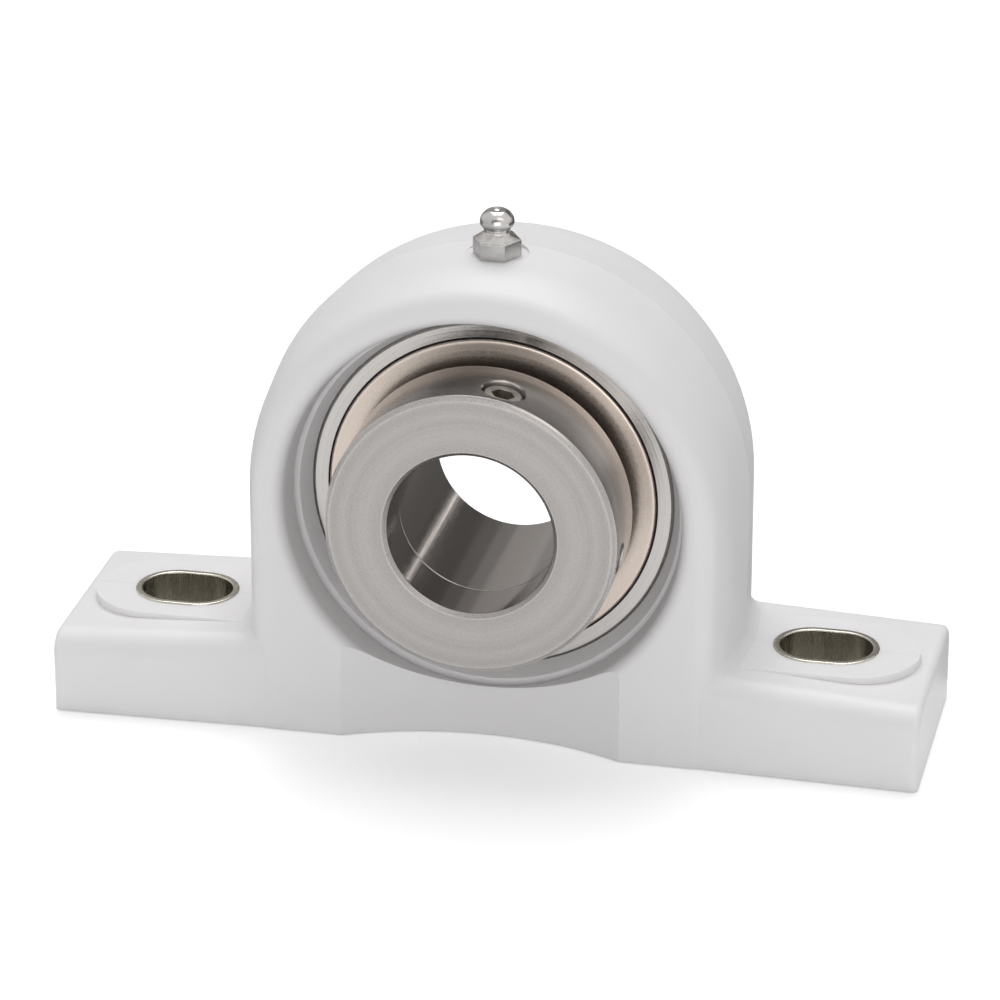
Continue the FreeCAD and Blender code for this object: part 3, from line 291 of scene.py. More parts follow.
@dataclass
class TurnedShell:
    """A closed profile carried round an axis, with holes where asked."""

    knots: Sequence[Knot]
    axes: Axes = SHAFT_AXES
    columns: int = 192
    closed: bool = True
    offset: tuple[float, float] = (0.0, 0.0)
    holes: Sequence[Hole] = ()
    steps: int = 4
    support: float = 0.25

    def surface(self) -> Surface:
        """Turn the profile and let in its holes.

        A point is the station's reach times the cosine and sine of the column's angle, plus
        the offset on eccentric stations. On hexagonal stations the reach is divided by the
        cosine of the angle from the nearest flat.

        Returns:
            The finished surface.
        """
        stations = rounded_stations(self.knots, self.steps, self.support)
        angle = np.arange(self.columns) * 2 * np.pi / self.columns
        reach, depth = stations.places[:, :1], stations.places[:, 1:]
        points = self.places(reach, depth, angle[None, :], stations.turns[:, None])
        rows = len(stations.places)
        quads = grid_quads(rows, self.columns, self.closed)
        keep = np.ones(quads.shape[:2], bool)
        cloud, masks = [points.reshape(-1, 3)], [np.repeat(stations.mask, self.columns)]
        extra, count = [], rows * self.columns
        for hole in self.holes:
            patch = self.hole_patch(hole, stations, count)
            keep[patch["rows"], patch["columns"]] = False
            cloud.append(patch["points"])
            masks.append(patch["mask"])
            extra.append(patch["quads"])
            count += len(patch["points"])
        faces = np.concatenate([quads[keep], *extra])
        return Surface(self.placed(np.concatenate(cloud)), faces, np.concatenate(masks))

    def places(
        self, reach: np.ndarray, depth: np.ndarray, angle: np.ndarray, turns: np.ndarray
    ) -> np.ndarray:
        """Return local places across, upward and along for stations and angles.

        Args:
            reach: Distances from the axis.
            depth: Places along the axis.
            angle: Angles round the axis, in radians.
            turns: The way each station goes round.

        Returns:
            Places with a last axis of three.
        """
        sixth = np.pi / 3
        flat = np.mod(angle + sixth / 2, sixth) - sixth / 2
        reach = np.where(turns == Turn.HEXAGON.value, reach / np.cos(flat), reach)
        shift = (turns == Turn.OFFSET.value).astype(float)
        parts = [
            reach * np.cos(angle) + shift * self.offset[0],
            reach * np.sin(angle) + shift * self.offset[1],
            depth + 0 * angle,
        ]
        return np.stack(np.broadcast_arrays(*parts), axis=-1)

    def placed(self, local: np.ndarray) -> np.ndarray:
        """Carry local places to the frame of the whole object."""
        basis = np.array([self.axes.across, self.axes.upward, self.axes.along], float)
        return np.array(self.axes.origin, float) + local @ basis

    def hole_patch(self, hole: Hole, stations: Stations, count: int) -> dict:
        """Fill a block of the grid with a ring of quads round a drilled hole.

        A point of the ring is a share of the way from the rim circle to the border of the
        block, in angle and in depth, and its reach is read off the profile. The wall of the
        hole is the same circle carried straight toward the axis, closed by a shallow cone.

        Args:
            hole: The hole.
            stations: The profile's stations.
            count: Number of points that came before.

        Returns:
            The block's rows and columns, and the new points, quads and mask.
        """
        depths = stations.places[:, 1]
        away = np.where(stations.places[:, 0] > hole.floor, 0, np.inf)
        ends = (hole.first_depth, hole.last_depth)
        low, high = sorted(int(np.argmin(np.abs(depths - end) + away)) for end in ends)
        rows, wide = high - low, 2 * hole.half_columns
        middle = round(math.degrees(hole.angle) * self.columns / 360)
        up = np.arange(rows)
        along = np.arange(wide)
        border_row = np.concatenate([low + up, np.full(wide, high), high - up, np.full(wide, low)])
        side = hole.half_columns
        left, right = np.full(rows, -side), np.full(rows, side)
        border_column = np.concatenate([right, side - along, left, along - side])
        border = border_row * self.columns + (middle + border_column) % self.columns
        turn = np.concatenate([
            -45 + 90 * up / rows, 45 + 90 * along / wide, 135 + 90 * up / rows, 225 + 90 * along / wide,
        ])
        turn = np.radians(turn)
        sense = np.sign(depths[high] - depths[low])
        band = slice(low, high + 1)
        order = np.argsort(depths[band])
        known_depth, known_reach = depths[band][order], stations.places[band, 0][order]
        wide_radius = hole.radius + hole.rim
        rim_depth = hole.depth + sense * wide_radius * np.sin(turn)
        rim_reach = np.interp(rim_depth, known_depth, known_reach)
        rim_angle = np.arcsin(wide_radius * np.cos(turn) / rim_reach)
        border_angle = border_column * 2 * np.pi / self.columns
        share = np.linspace(0, 1, hole.rings + 1)[:-1, None] ** hole.crowding
        angle = hole.angle + rim_angle + share * (border_angle - rim_angle)
        depth = rim_depth + share * (depths[border_row] - rim_depth)
        reach = np.interp(depth, known_depth, known_reach)
        ring = self.places(reach, depth, angle, np.zeros_like(reach))
        wall = self.hole_wall(hole, turn, sense, rim_reach * np.cos(rim_angle))
        loops = np.concatenate([ring[::-1].reshape(-1, 3), wall.reshape(-1, 3)])
        size, lines = len(turn), hole.rings + len(wall)
        numbers = np.concatenate([border, count + np.arange(lines * size)]).reshape(lines + 1, size)
        nearer, farther = numbers[:-1], numbers[1:]
        quads = np.stack([nearer, np.roll(nearer, -1, 1), np.roll(farther, -1, 1), farther], axis=-1)
        if sense > 0:
            quads = quads[..., ::-1]
        mask = np.zeros((lines, size))
        mask[hole.rings - 1:hole.rings + 1] = 1
        block = (np.arange(low, high)[:, None], (middle - side + along)[None, :] % self.columns)
        return {
            "rows": block[0], "columns": block[1], "points": loops,
            "quads": quads.reshape(-1, 4), "mask": mask.reshape(-1),
        }

    def hole_wall(self, hole: Hole, turn: np.ndarray, sense: float, level: np.ndarray) -> np.ndarray:
        """Return the rings of a hole's wall, from its rounded rim to the tip of its floor.

        Args:
            hole: The hole.
            turn: Angles round the hole.
            sense: Direction in which the stations' depths run.
            level: Distance of each rim point from the axis, along the hole.

        Returns:
            Local places, one ring of them after another.
        """
        top, floor = level - hole.rim, np.full_like(level, hole.floor)
        second = top - hole.rim - hole.support
        height = np.stack([top, second, floor + hole.floor_margin, floor, floor, floor - hole.tip])
        radii = np.array([hole.radius] * 4 + [hole.radius / 2, ON_AXIS])[:, None]
        tangent = radii * np.cos(turn)[None, :]
        depth = hole.depth + sense * radii * np.sin(turn)[None, :]
        cosine, sine = math.cos(hole.angle), math.sin(hole.angle)
        return np.stack([height * cosine - tangent * sine, height * sine + tangent * cosine, depth], axis=-1)


@dataclass
class RacetrackShell:
    """A closed profile carried along two half circles joined by straights, about Z."""

    knots: Sequence[Knot]
    centre: tuple[float, float]
    straight: float
    half_turn_points: int = 72
    steps: int = 4
    support: float = 0.2

    def surface(self) -> Surface:
        """Carry the profile along the racetrack.

        A point stands at half the straight to the left or right of the centre, plus the
        station's reach times the cosine and sine of the angle; its height is the depth.

        Returns:
            The finished surface.
        """
        stations = rounded_stations(self.knots, self.steps, self.support)
        half = np.linspace(-np.pi / 2, np.pi / 2, self.half_turn_points)
        angle = np.concatenate([half, half + np.pi])[None, :]
        shift = np.repeat([self.straight, -self.straight], self.half_turn_points)[None, :]
        reach, height = stations.places[:, :1], stations.places[:, 1:]
        parts = [
            self.centre[0] + shift + reach * np.cos(angle),
            self.centre[1] + reach * np.sin(angle),
            height + 0 * angle,
        ]
        points = np.stack(np.broadcast_arrays(*parts), axis=-1).reshape(-1, 3)
        columns = angle.shape[1]
        quads = grid_quads(len(reach), columns, True).reshape(-1, 4)
        return Surface(points, quads, np.repeat(stations.mask, columns))


# Node groups shared by the finishes


class Nodes:
    """A node tree with short ways of adding and joining nodes."""

    def __init__(self, tree: bpy.types.NodeTree) -> None:
        """Keep the tree that nodes go into."""
        self.tree = tree

    def add(self, kind: str, **values: object) -> bpy.types.Node:
        """Add a node and set its properties and unlinked inputs.

        Args:
            kind: Blender's name for the node type.
            **values: Properties by name; inputs are given in a dict named inputs.

        Returns:
            The new node.
        """
        node = self.tree.nodes.new(kind)
        inputs = values.pop("inputs", {})
        for name, value in values.items():
            setattr(node, name, value)
        for name, value in inputs.items():
            if isinstance(value, Socket):
                self.tree.links.new(value, node.inputs[name])
            else:
                node.inputs[name].default_value = value
        return node

    def math(
        self, operation: str, first: object, second: object = 0.0, third: object = 0.0
    ) -> Socket:
        """Add a Math node and return its result."""
        inputs = {0: first, 1: second, 2: third}
        return self.add("ShaderNodeMath", operation=operation, inputs=inputs).outputs[0]

    def blend(self, share: object, first: object, second: object) -> Socket:
        """Return the first value, plus a share of its difference from the second."""
        return self.math("MULTIPLY_ADD", share, self.math("SUBTRACT", second, first), first)

    def distance(self, across: object, upward: object) -> Socket:
        """Return the root of the sum of two squares."""
        squares = [self.math("MULTIPLY", side, side) for side in (across, upward)]
        return self.math("SQRT", self.math("ADD", *squares))

    def span(
        self, value: object, low: float, high: float, first: float, last: float
    ) -> Socket:
        """Return a value carried from the range low to high over to the range first to last."""
        inputs = dict(enumerate((value, low, high, first, last)))
        return self.add("ShaderNodeMapRange", inputs=inputs).outputs[0]

    def noise(
        self, place: object, scale: object, detail: float = 2.0, rough: float = 0.5
    ) -> Socket:
        """Add a noise texture over a vector and return its factor."""
        inputs = {"Vector": place, "Scale": scale, "Detail": detail, "Roughness": rough}
        return self.add("ShaderNodeTexNoise", inputs=inputs).outputs["Fac"]

    def bump(self, relief: float, height: object, under: object = None) -> Socket:
        """Return the normal that a height gives over a relief in millimetres."""
        inputs = {"Strength": 1.0, "Distance": relief * MILLIMETRE, "Height": height}
        if under is not None:
            inputs["Normal"] = under
        return self.add("ShaderNodeBump", inputs=inputs).outputs[0]

    def drive(self, shader: bpy.types.Node, colour: object, rough: object, normal: object) -> None:
        """Join colour, roughness and normal to a Principled shader."""
        for name, value in (("Base Color", colour), ("Roughness", rough), ("Normal", normal)):
            self.tree.links.new(value, shader.inputs[name])

    def show(self, shader: Socket) -> None:
        """Join a shader to the material's surface."""
        self.tree.links.new(shader, self.tree.nodes["Material Output"].inputs["Surface"])

    def mix(self, share: object, first: object, second: object) -> Socket:
        """Mix two colours by a share and return the result."""
        inputs = {0: share, 6: first, 7: second}
        return self.add("ShaderNodeMix", data_type="RGBA", inputs=inputs).outputs[2]


class SharedGroup:
    """A shader node group with named inputs and outputs, built once."""

    def __init__(self, name: str, inputs: dict[str, float], outputs: Sequence[str]) -> None:
        """Make the empty group.

        Args:
            name: Name of the group.
            inputs: Float inputs with their defaults.
            outputs: Names of the float outputs.
        """
        self.tree = bpy.data.node_groups.new(name, "ShaderNodeTree")
        for title, value in inputs.items():
            socket = self.tree.interface.new_socket(title, in_out="INPUT", socket_type="NodeSocketFloat")
            socket.default_value = value
        for title in outputs:
            self.tree.interface.new_socket(title, in_out="OUTPUT", socket_type="NodeSocketFloat")
        self.nodes = Nodes(self.tree)
        self.given = self.nodes.add("NodeGroupInput").outputs
        self.result = self.nodes.add("NodeGroupOutput")

    def give(self, title: str, value: Socket) -> None:
        """Join a value to one of the group's outputs."""
        self.tree.links.new(value, self.result.inputs[title])

    def place(self, nodes: Nodes, **values: float) -> bpy.types.Node:
        """Put the group into a material with its own values.

        Args:
            nodes: The material's nodes.
            **values: Input values, with underscores for spaces.

        Returns:
            The group node.
        """
        inputs = {title.replace("_", " ").capitalize(): value for title, value in values.items()}
        return nodes.add("ShaderNodeGroup", node_tree=self.tree, inputs=inputs)


def object_place(nodes: Nodes, shift: Triple = (0, 0, 0)) -> Socket:
    """Return object coordinates in millimetres, moved by a shift.

    Args:
        nodes: The tree to work in.
        shift: Distance taken off the place, in millimetres.

    Returns:
        The vector output.
    """
    place = nodes.add("ShaderNodeTexCoord").outputs["Object"]
    scale = (1 / MILLIMETRE,) * 3
    inputs = {"Vector": place, "Scale": scale, "Location": tuple(-s for s in shift)}
    return nodes.add("ShaderNodeMapping", inputs=inputs).outputs[0]


def shaft_parts(nodes: Nodes) -> bpy.types.bpy_prop_collection:
    """Return the distances across, along and above the shaft's axis, in millimetres."""
    place = object_place(nodes, (0, 0, SHAFT_HEIGHT))
    return nodes.add("ShaderNodeSeparateXYZ", inputs={0: place}).outputs


def grain_group() -> SharedGroup:
    """Build fine grain: coarse and fine noise added together, for moulded and blasted faces."""
    inputs = {"Fine scale": 4.0, "Coarse scale": 0.15, "Coarse share": 0.4}
    group = SharedGroup("grain", inputs, ("Height", "Tone"))
    nodes, place = group.nodes, object_place(group.nodes)
    fine = nodes.noise(place, group.given["Fine scale"], 3.0, 0.6)
    coarse = nodes.noise(place, group.given["Coarse scale"], 2.0, 0.5)
    weighted = nodes.math("MULTIPLY", coarse, group.given["Coarse share"])
    group.give("Height", nodes.math("ADD", fine, weighted))
    group.give("Tone", coarse)
    return group


def turned_group() -> SharedGroup:
    """Build tool marks of a lathe about the shaft's axis.

    The marks are noise over the distance from the axis and the depth alone, so they run in
    rings; a fine speckle that follows neither breaks them up.
    """
    inputs = {"Pitch": 5.0, "Ring share": 0.7, "Speckle scale": 1.0}
    group = SharedGroup("turned marks", inputs, ("Height", "Tone"))
    nodes = group.nodes
    place = object_place(nodes, (0, 0, SHAFT_HEIGHT))
    parts = nodes.add("ShaderNodeSeparateXYZ", inputs={0: place}).outputs
    reach = nodes.distance(parts[0], parts[2])
    ringed = nodes.add("ShaderNodeCombineXYZ", inputs={0: reach, 1: parts[1]}).outputs[0]
    rings = nodes.noise(ringed, group.given["Pitch"], 2.0, 0.55)
    broad = nodes.noise(ringed, BROAD_SCALE, 1.0, 0.5)
    speckle = nodes.noise(place, group.given["Speckle scale"], 3.0, 0.7)
    height = nodes.blend(group.given["Ring share"], speckle, rings)
    group.give("Height", height)
    group.give("Tone", nodes.blend(BROAD_SHARE, height, broad))
    return group


def bore_group() -> SharedGroup:
    """Build the marks of a ground bore: streaks that run along the shaft's axis.

    The streaks are noise over the direction from the axis and a small share of the depth. The
    mask is one where the distance from the axis is under the bore's reach, and the side is one
    where it is over the side's reach.
    """
    inputs = {"Reach": 16.0, "Side reach": 1000.0, "Streak scale": 22.0}
    group = SharedGroup("ground bore", inputs, ("Mask", "Side", "Height"))
    nodes = group.nodes
    parts = shaft_parts(nodes)
    reach = nodes.distance(parts[0], parts[2])
    across = nodes.math("DIVIDE", parts[0], reach)
    upward = nodes.math("DIVIDE", parts[2], reach)
    along = nodes.math("MULTIPLY", parts[1], STREAK_DRIFT)
    direction = nodes.add("ShaderNodeCombineXYZ", inputs={0: across, 1: along, 2: upward}).outputs[0]
    group.give("Mask", nodes.math("LESS_THAN", reach, group.given["Reach"]))
    group.give("Side", nodes.math("GREATER_THAN", reach, group.given["Side reach"]))
    group.give("Height", nodes.noise(direction, group.given["Streak scale"], 4.0, 0.6))
    return group


def wear_group() -> SharedGroup:
    """Build wear of the rounded edges: the piece's own edge mask, broken up by noise."""
    group = SharedGroup("edge wear", {"Amount": 0.6, "Breakup": 0.9}, ("Mask",))
    nodes = group.nodes
    edge = nodes.add("ShaderNodeAttribute", attribute_name=EDGE_MASK).outputs["Fac"]
    patches = nodes.noise(object_place(nodes), group.given["Breakup"], 3.0, 0.6)
    strength = nodes.math("MULTIPLY", nodes.math("MULTIPLY", edge, patches), group.given["Amount"])
    group.give("Mask", nodes.math("MINIMUM", nodes.math("MULTIPLY", strength, WEAR_GAIN), 1.0))
    return group


def dust_group() -> SharedGroup:
    """Build a trace of dust: it gathers where faces look up, in soft patches."""
    group = SharedGroup("dust", {"Amount": 0.15, "Patch scale": 0.12}, ("Mask",))
    nodes = group.nodes
    normal = nodes.add("ShaderNodeNewGeometry").outputs["Normal"]
    upward = nodes.add("ShaderNodeSeparateXYZ", inputs={0: normal}).outputs[2]
    facing = nodes.math("MAXIMUM", upward, 0.0)
    patches = nodes.noise(object_place(nodes), group.given["Patch scale"], 4.0, 0.6)
    group.give("Mask", nodes.math("MULTIPLY", nodes.math("MULTIPLY", facing, patches), group.given["Amount"]))
    return group


@dataclass
class Groups:
    """The node groups that finishes place in their materials."""

    grain: SharedGroup = field(default_factory=grain_group)
    turned: SharedGroup = field(default_factory=turned_group)
    bore: SharedGroup = field(default_factory=bore_group)
    wear: SharedGroup = field(default_factory=wear_group)
    dust: SharedGroup = field(default_factory=dust_group)


# Finishes


class Marks(Enum):
    """The pattern that a tool left on a metal face."""

    TURNED = "turned"
    GRAIN = "grain"
    DRAWN = "drawn"


@dataclass(frozen=True)
class Finish:
    """What all finishes share: a name, and a material that each one paints in its own way."""

    name: str

    def material(self, groups: Groups) -> bpy.types.Material:
        """Build the material.

        Args:
            groups: The shared node groups.

        Returns:
            The material.
        """
        material, nodes, shader = new_material(self.name)
        self.paint(groups, nodes, shader)
        return material

    def paint(self, groups: Groups, nodes: Nodes, shader: bpy.types.Node) -> None:
        """Join the finish's own nodes to the shader."""
        raise NotImplementedError


@dataclass(frozen=True)
class MetalFinish(Finish):
    """A bare steel finish: tone, gloss and tool marks."""

    tone: Triple
    dark_tone: Triple
    gloss_low: float
    gloss_high: float
    marks: Marks = Marks.TURNED
    pitch: float = 5.0
    relief: float = 0.02
    ring_share: float = 0.7
    speckle_scale: float = 1.0
    bore_reach: float = 0.0
    side_reach: float = 1000.0
    side_calm: float = 0.75
    side_gloss: float = 0.10
    bore_relief: float = 0.006
    # share of the tone left in the bore: painted shade
    bore_painted_shade: float = 0.75
    bore_gloss_low: float = 0.11
    bore_gloss_high: float = 0.20
    stretch: float = 0.06
    tone_pitch: float = 0.3
    worn_light: float = 1.12
    dust_tone: Triple = (0.45, 0.43, 0.40)

    def paint(self, groups: Groups, nodes: Nodes, shader: bpy.types.Node) -> None:
        """Mix tone, wear and dust; let the tool marks set gloss and relief."""
        height, tone = self.pattern(groups, nodes)
        wear = groups.wear.place(nodes).outputs[0]
        dust = groups.dust.place(nodes, amount=0.06).outputs[0]
        share = nodes.span(tone, NOISE_LOW, NOISE_HIGH, 0.0, 1.0)
        colour = nodes.mix(share, (*self.dark_tone, 1), (*self.tone, 1))
        bright = tuple(min(1.0, c * self.worn_light) for c in self.tone)
        colour = nodes.mix(wear, colour, (*bright, 1))
        colour = nodes.mix(dust, colour, (*self.dust_tone, 1))
        gloss = nodes.span(height, NOISE_LOW, NOISE_HIGH, self.gloss_low, self.gloss_high)
        if self.bore_reach:
            colour, gloss, height = self.ground(groups, nodes, colour, gloss, height)
        nodes.drive(shader, colour, gloss, nodes.bump(self.relief, height))
        shader.inputs["Metallic"].default_value = 1.0

    def ground(
        self, groups: Groups, nodes: Nodes, colour: object, gloss: object, height: object
    ) -> tuple[Socket, Socket, Socket]:
        """Smooth the piece's outer side, grind its bore and darken the bore's colour as painted shade.

        Args:
            groups: The shared node groups.
            nodes: The material's nodes.
            colour: Colour of the rest of the piece.
            gloss: Its roughness.
            height: Its tool marks.

        Returns:
            Colour, roughness and height with the side and the bore in them, the bore darkened by painted
            shade.
        """
        bore = groups.bore.place(nodes, reach=self.bore_reach, side_reach=self.side_reach).outputs
        calm = nodes.math("MULTIPLY", bore["Side"], self.side_calm)
        height = nodes.blend(calm, height, (NOISE_LOW + NOISE_HIGH) / 2)
        gloss = nodes.blend(calm, gloss, self.side_gloss)
        # painted shade: the bore's colour is darkened to a share of the tone
        painted_shade = tuple(self.bore_painted_shade * c for c in self.tone)
        streaks = nodes.math("MULTIPLY", bore["Height"], self.bore_relief / self.relief)
        polish = nodes.span(bore["Height"], NOISE_LOW, NOISE_HIGH, self.bore_gloss_low, self.bore_gloss_high)
        colour = nodes.mix(bore["Mask"], colour, (*painted_shade, 1))
        gloss = nodes.blend(bore["Mask"], gloss, polish)
        return colour, gloss, nodes.blend(bore["Mask"], height, streaks)

    def pattern(self, groups: Groups, nodes: Nodes) -> tuple[Socket, Socket]:
        """Return the height and tone of the finish's tool marks."""
        if self.marks is Marks.TURNED:
            node = groups.turned.place(
                nodes, pitch=self.pitch, ring_share=self.ring_share, speckle_scale=self.speckle_scale)
            return node.outputs["Height"], node.outputs["Tone"]
        if self.marks is Marks.GRAIN:
            node = groups.grain.place(nodes, fine_scale=self.pitch)
            return node.outputs["Height"], node.outputs["Tone"]
        inputs = {"Vector": object_place(nodes), "Scale": (1.0, 1.0, self.stretch)}
        stretched = nodes.add("ShaderNodeMapping", inputs=inputs).outputs[0]
        lines = nodes.noise(stretched, self.pitch, 3.0, 0.6)
        return lines, nodes.noise(stretched, self.pitch * self.tone_pitch, 2.0, 0.5)


@dataclass(frozen=True)
class PlasticFinish(Finish):
    """A satin moulded plastic with fine grain and the line where the mould halves met."""

    tone: Triple = (0.835, 0.825, 0.835)
    second_tone: Triple = (0.805, 0.795, 0.805)
    grain_span: tuple[float, float] = (0.2, 1.1)
    gloss_low: float = 0.40
    gloss_high: float = 0.52
    relief: float = 0.012
    line_half_width: float = 0.11
    line_relief: float = 0.05
    seat_radius: float = 46.0
    line_share: float = 0.35
    line_tone: Triple = (0.45, 0.45, 0.46)
    dust_tone: Triple = (0.60, 0.59, 0.59)
    depth_of_light: float = 0.002
    share_of_light: float = 0.35

    def paint(self, groups: Groups, nodes: Nodes, shader: bpy.types.Node) -> None:
        """Mix grain, dust and the parting line, and let light in under the face."""
        grain = groups.grain.place(nodes, fine_scale=3.0, coarse_scale=0.08, coarse_share=0.5).outputs
        dust = groups.dust.place(nodes, amount=0.05, patch_scale=0.07).outputs[0]
        colour = nodes.mix(grain["Tone"], (*self.second_tone, 1), (*self.tone, 1))
        colour = nodes.mix(dust, colour, (*self.dust_tone, 1))
        line = self.parting_line(nodes)
        faint = nodes.math("MULTIPLY", line, self.line_share)
        colour = nodes.mix(faint, colour, (*self.line_tone, 1))
        rough = nodes.span(grain["Height"], *self.grain_span, self.gloss_low, self.gloss_high)
        fine = nodes.bump(self.relief, grain["Height"])
        nodes.drive(shader, colour, rough, nodes.bump(self.line_relief, line, fine))
        shader.inputs["Subsurface Weight"].default_value = self.share_of_light
        shader.inputs["Subsurface Radius"].default_value = (1.0, 1.0, 1.0)
        shader.inputs["Subsurface Scale"].default_value = self.depth_of_light

    def parting_line(self, nodes: Nodes) -> Socket:
        """Return a mask of the thin line in the middle plane, outside the seat.

        The mask falls from one to nothing as the depth goes from nought to the half width,
        and counts only where the distance from the shaft's axis passes the seat's.
        """
        parts = shaft_parts(nodes)
        depth = nodes.math("ABSOLUTE", parts[1])
        near = nodes.span(depth, 0.0, self.line_half_width, 1.0, 0.0)
        outside = nodes.math("GREATER_THAN", nodes.distance(parts[0], parts[2]), self.seat_radius)
        return nodes.math("MULTIPLY", near, outside)


@dataclass(frozen=True)
class RubberFinish(Finish):
    """A dark, slightly dusty rubber."""

    tone: Triple = (0.018, 0.018, 0.019)
    dust_tone: Triple = (0.10, 0.095, 0.09)
    lightening: float = 2.2
    grain_span: tuple[float, float] = (0.2, 1.0)
    gloss_low: float = 0.42
    gloss_high: float = 0.62
    relief: float = 0.02

    def paint(self, groups: Groups, nodes: Nodes, shader: bpy.types.Node) -> None:
        """Mix grain and dust, and let the grain set gloss and relief."""
        grain = groups.grain.place(nodes, fine_scale=6.0).outputs
        dust = groups.dust.place(nodes, amount=0.25, patch_scale=0.5).outputs[0]
        lighter = tuple(self.lightening * c for c in self.tone)
        colour = nodes.mix(grain["Tone"], (*self.tone, 1), (*lighter, 1))
        colour = nodes.mix(dust, colour, (*self.dust_tone, 1))
        rough = nodes.span(grain["Height"], *self.grain_span, self.gloss_low, self.gloss_high)
        nodes.drive(shader, colour, rough, nodes.bump(self.relief, grain["Height"]))


def new_material(name: str) -> tuple[bpy.types.Material, Nodes, bpy.types.Node]:
    """Start a material and return it with its nodes and its Principled shader."""
    material = bpy.data.materials.new(name)
    material.use_nodes = True
    shader = material.node_tree.nodes["Principled BSDF"]
    return material, Nodes(material.node_tree), shader


FINISHES = (
    PlasticFinish("housing plastic"),
    MetalFinish("sleeve steel", (0.52, 0.50, 0.44), (0.42, 0.40, 0.355), 0.20, 0.32, Marks.DRAWN, 2.0, 0.008),
    MetalFinish("nipple steel", (0.60, 0.585, 0.57), (0.24, 0.23, 0.225), 0.10, 0.20, Marks.GRAIN, 2.5, 0.03),
    MetalFinish("ring steel", (0.54, 0.52, 0.50), (0.42, 0.405, 0.39), 0.14, 0.24, pitch=3.0, relief=0.02,
                bore_reach=15.95),
    MetalFinish("collar steel", (0.47, 0.445, 0.43), (0.26, 0.25, 0.24), 0.24, 0.38, pitch=4.0, relief=0.08,
                ring_share=0.25, speckle_scale=4.2, bore_reach=15.95, side_reach=27.4),
    MetalFinish("flinger steel", (0.62, 0.54, 0.48), (0.55, 0.48, 0.425), 0.24, 0.34, pitch=1.6,
                relief=0.006),
    MetalFinish("screw steel", (0.66, 0.62, 0.57), (0.46, 0.43, 0.39), 0.2, 0.38, Marks.GRAIN, 3.0, 0.02),
    MetalFinish("ball steel", (0.62, 0.62, 0.62), (0.55, 0.55, 0.55), 0.06, 0.12, Marks.GRAIN, 1.0, 0.002),
    MetalFinish("cage steel", (0.52, 0.50, 0.47), (0.40, 0.385, 0.365), 0.26, 0.42, Marks.GRAIN, 4.0, 0.02),
    RubberFinish("seal rubber"),
)


class Finishes:
    """The materials of the part, one for each of the record's material slots."""

    def __init__(self) -> None:
        """Build every material."""
        groups = Groups()
        self.by_slot = {f.name.replace(" ", "_"): f.material(groups) for f in FINISHES}

    def dress(self, piece: bpy.types.Object, slot: str) -> None:
        """Give a piece the material of a slot."""
        piece.data.materials.clear()
        piece.data.materials.append(self.by_slot[slot])


# Sub-assemblies, in millimetres


@dataclass
class SubAssembly:
    """A group of pieces that are built and dressed together."""

    finishes: Finishes

    def stand_in(self, surface: Surface, node: str, body: str, slot: str) -> bpy.types.Object:
        """Put a surface in the place of a node of the frame.

        Args:
            surface: The shape.
            node: The node it replaces.
            body: The body it rides on.
            slot: Its material slot.

        Returns:
            The new piece.
        """
        piece = surface.piece(node + "_skin")
        self.finishes.dress(piece, slot)
        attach(piece, body)
        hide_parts(node)
        log.info("%s: %d faces on %s", piece.name, len(piece.data.polygons), body)
        return piece

    def carry_over(self, node: str, slot: str) -> None:
        """Dress a node of the frame that is shown as it is."""
        self.finishes.dress(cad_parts[node], slot)
        log.info("%s: dressed as %s", node, slot)


@dataclass
class Housing(SubAssembly):
    """The moulded block."""

    def build(self) -> None:
        """Dress the block."""
        self.carry_over("housing", "housing_plastic")


@dataclass
class BoltSleeves(SubAssembly):
    """The two metal linings of the bolt slots."""

    spacing: float = 126.0
    half_length: float = 10.2
    half_width: float = 7.8
    thickness: float = 1.3
    height: float = 18.3
    rim: float = 0.3

    def build(self) -> None:
        """Carry the wall's section round each slot."""
        inside = self.half_width - self.thickness
        knots = [
            Knot(self.half_width, 0.0, 0.1), Knot(self.half_width, self.height, self.rim),
            Knot(inside, self.height, self.rim), Knot(inside, 0.0, 0.1),
        ]
        for side, sign in (("left", -1), ("right", 1)):
            shell = RacetrackShell(knots, (sign * self.spacing / 2, 0.0), self.half_length - self.half_width)
            self.stand_in(shell.surface(), side + "_bolt_sleeve", "base", "sleeve_steel")


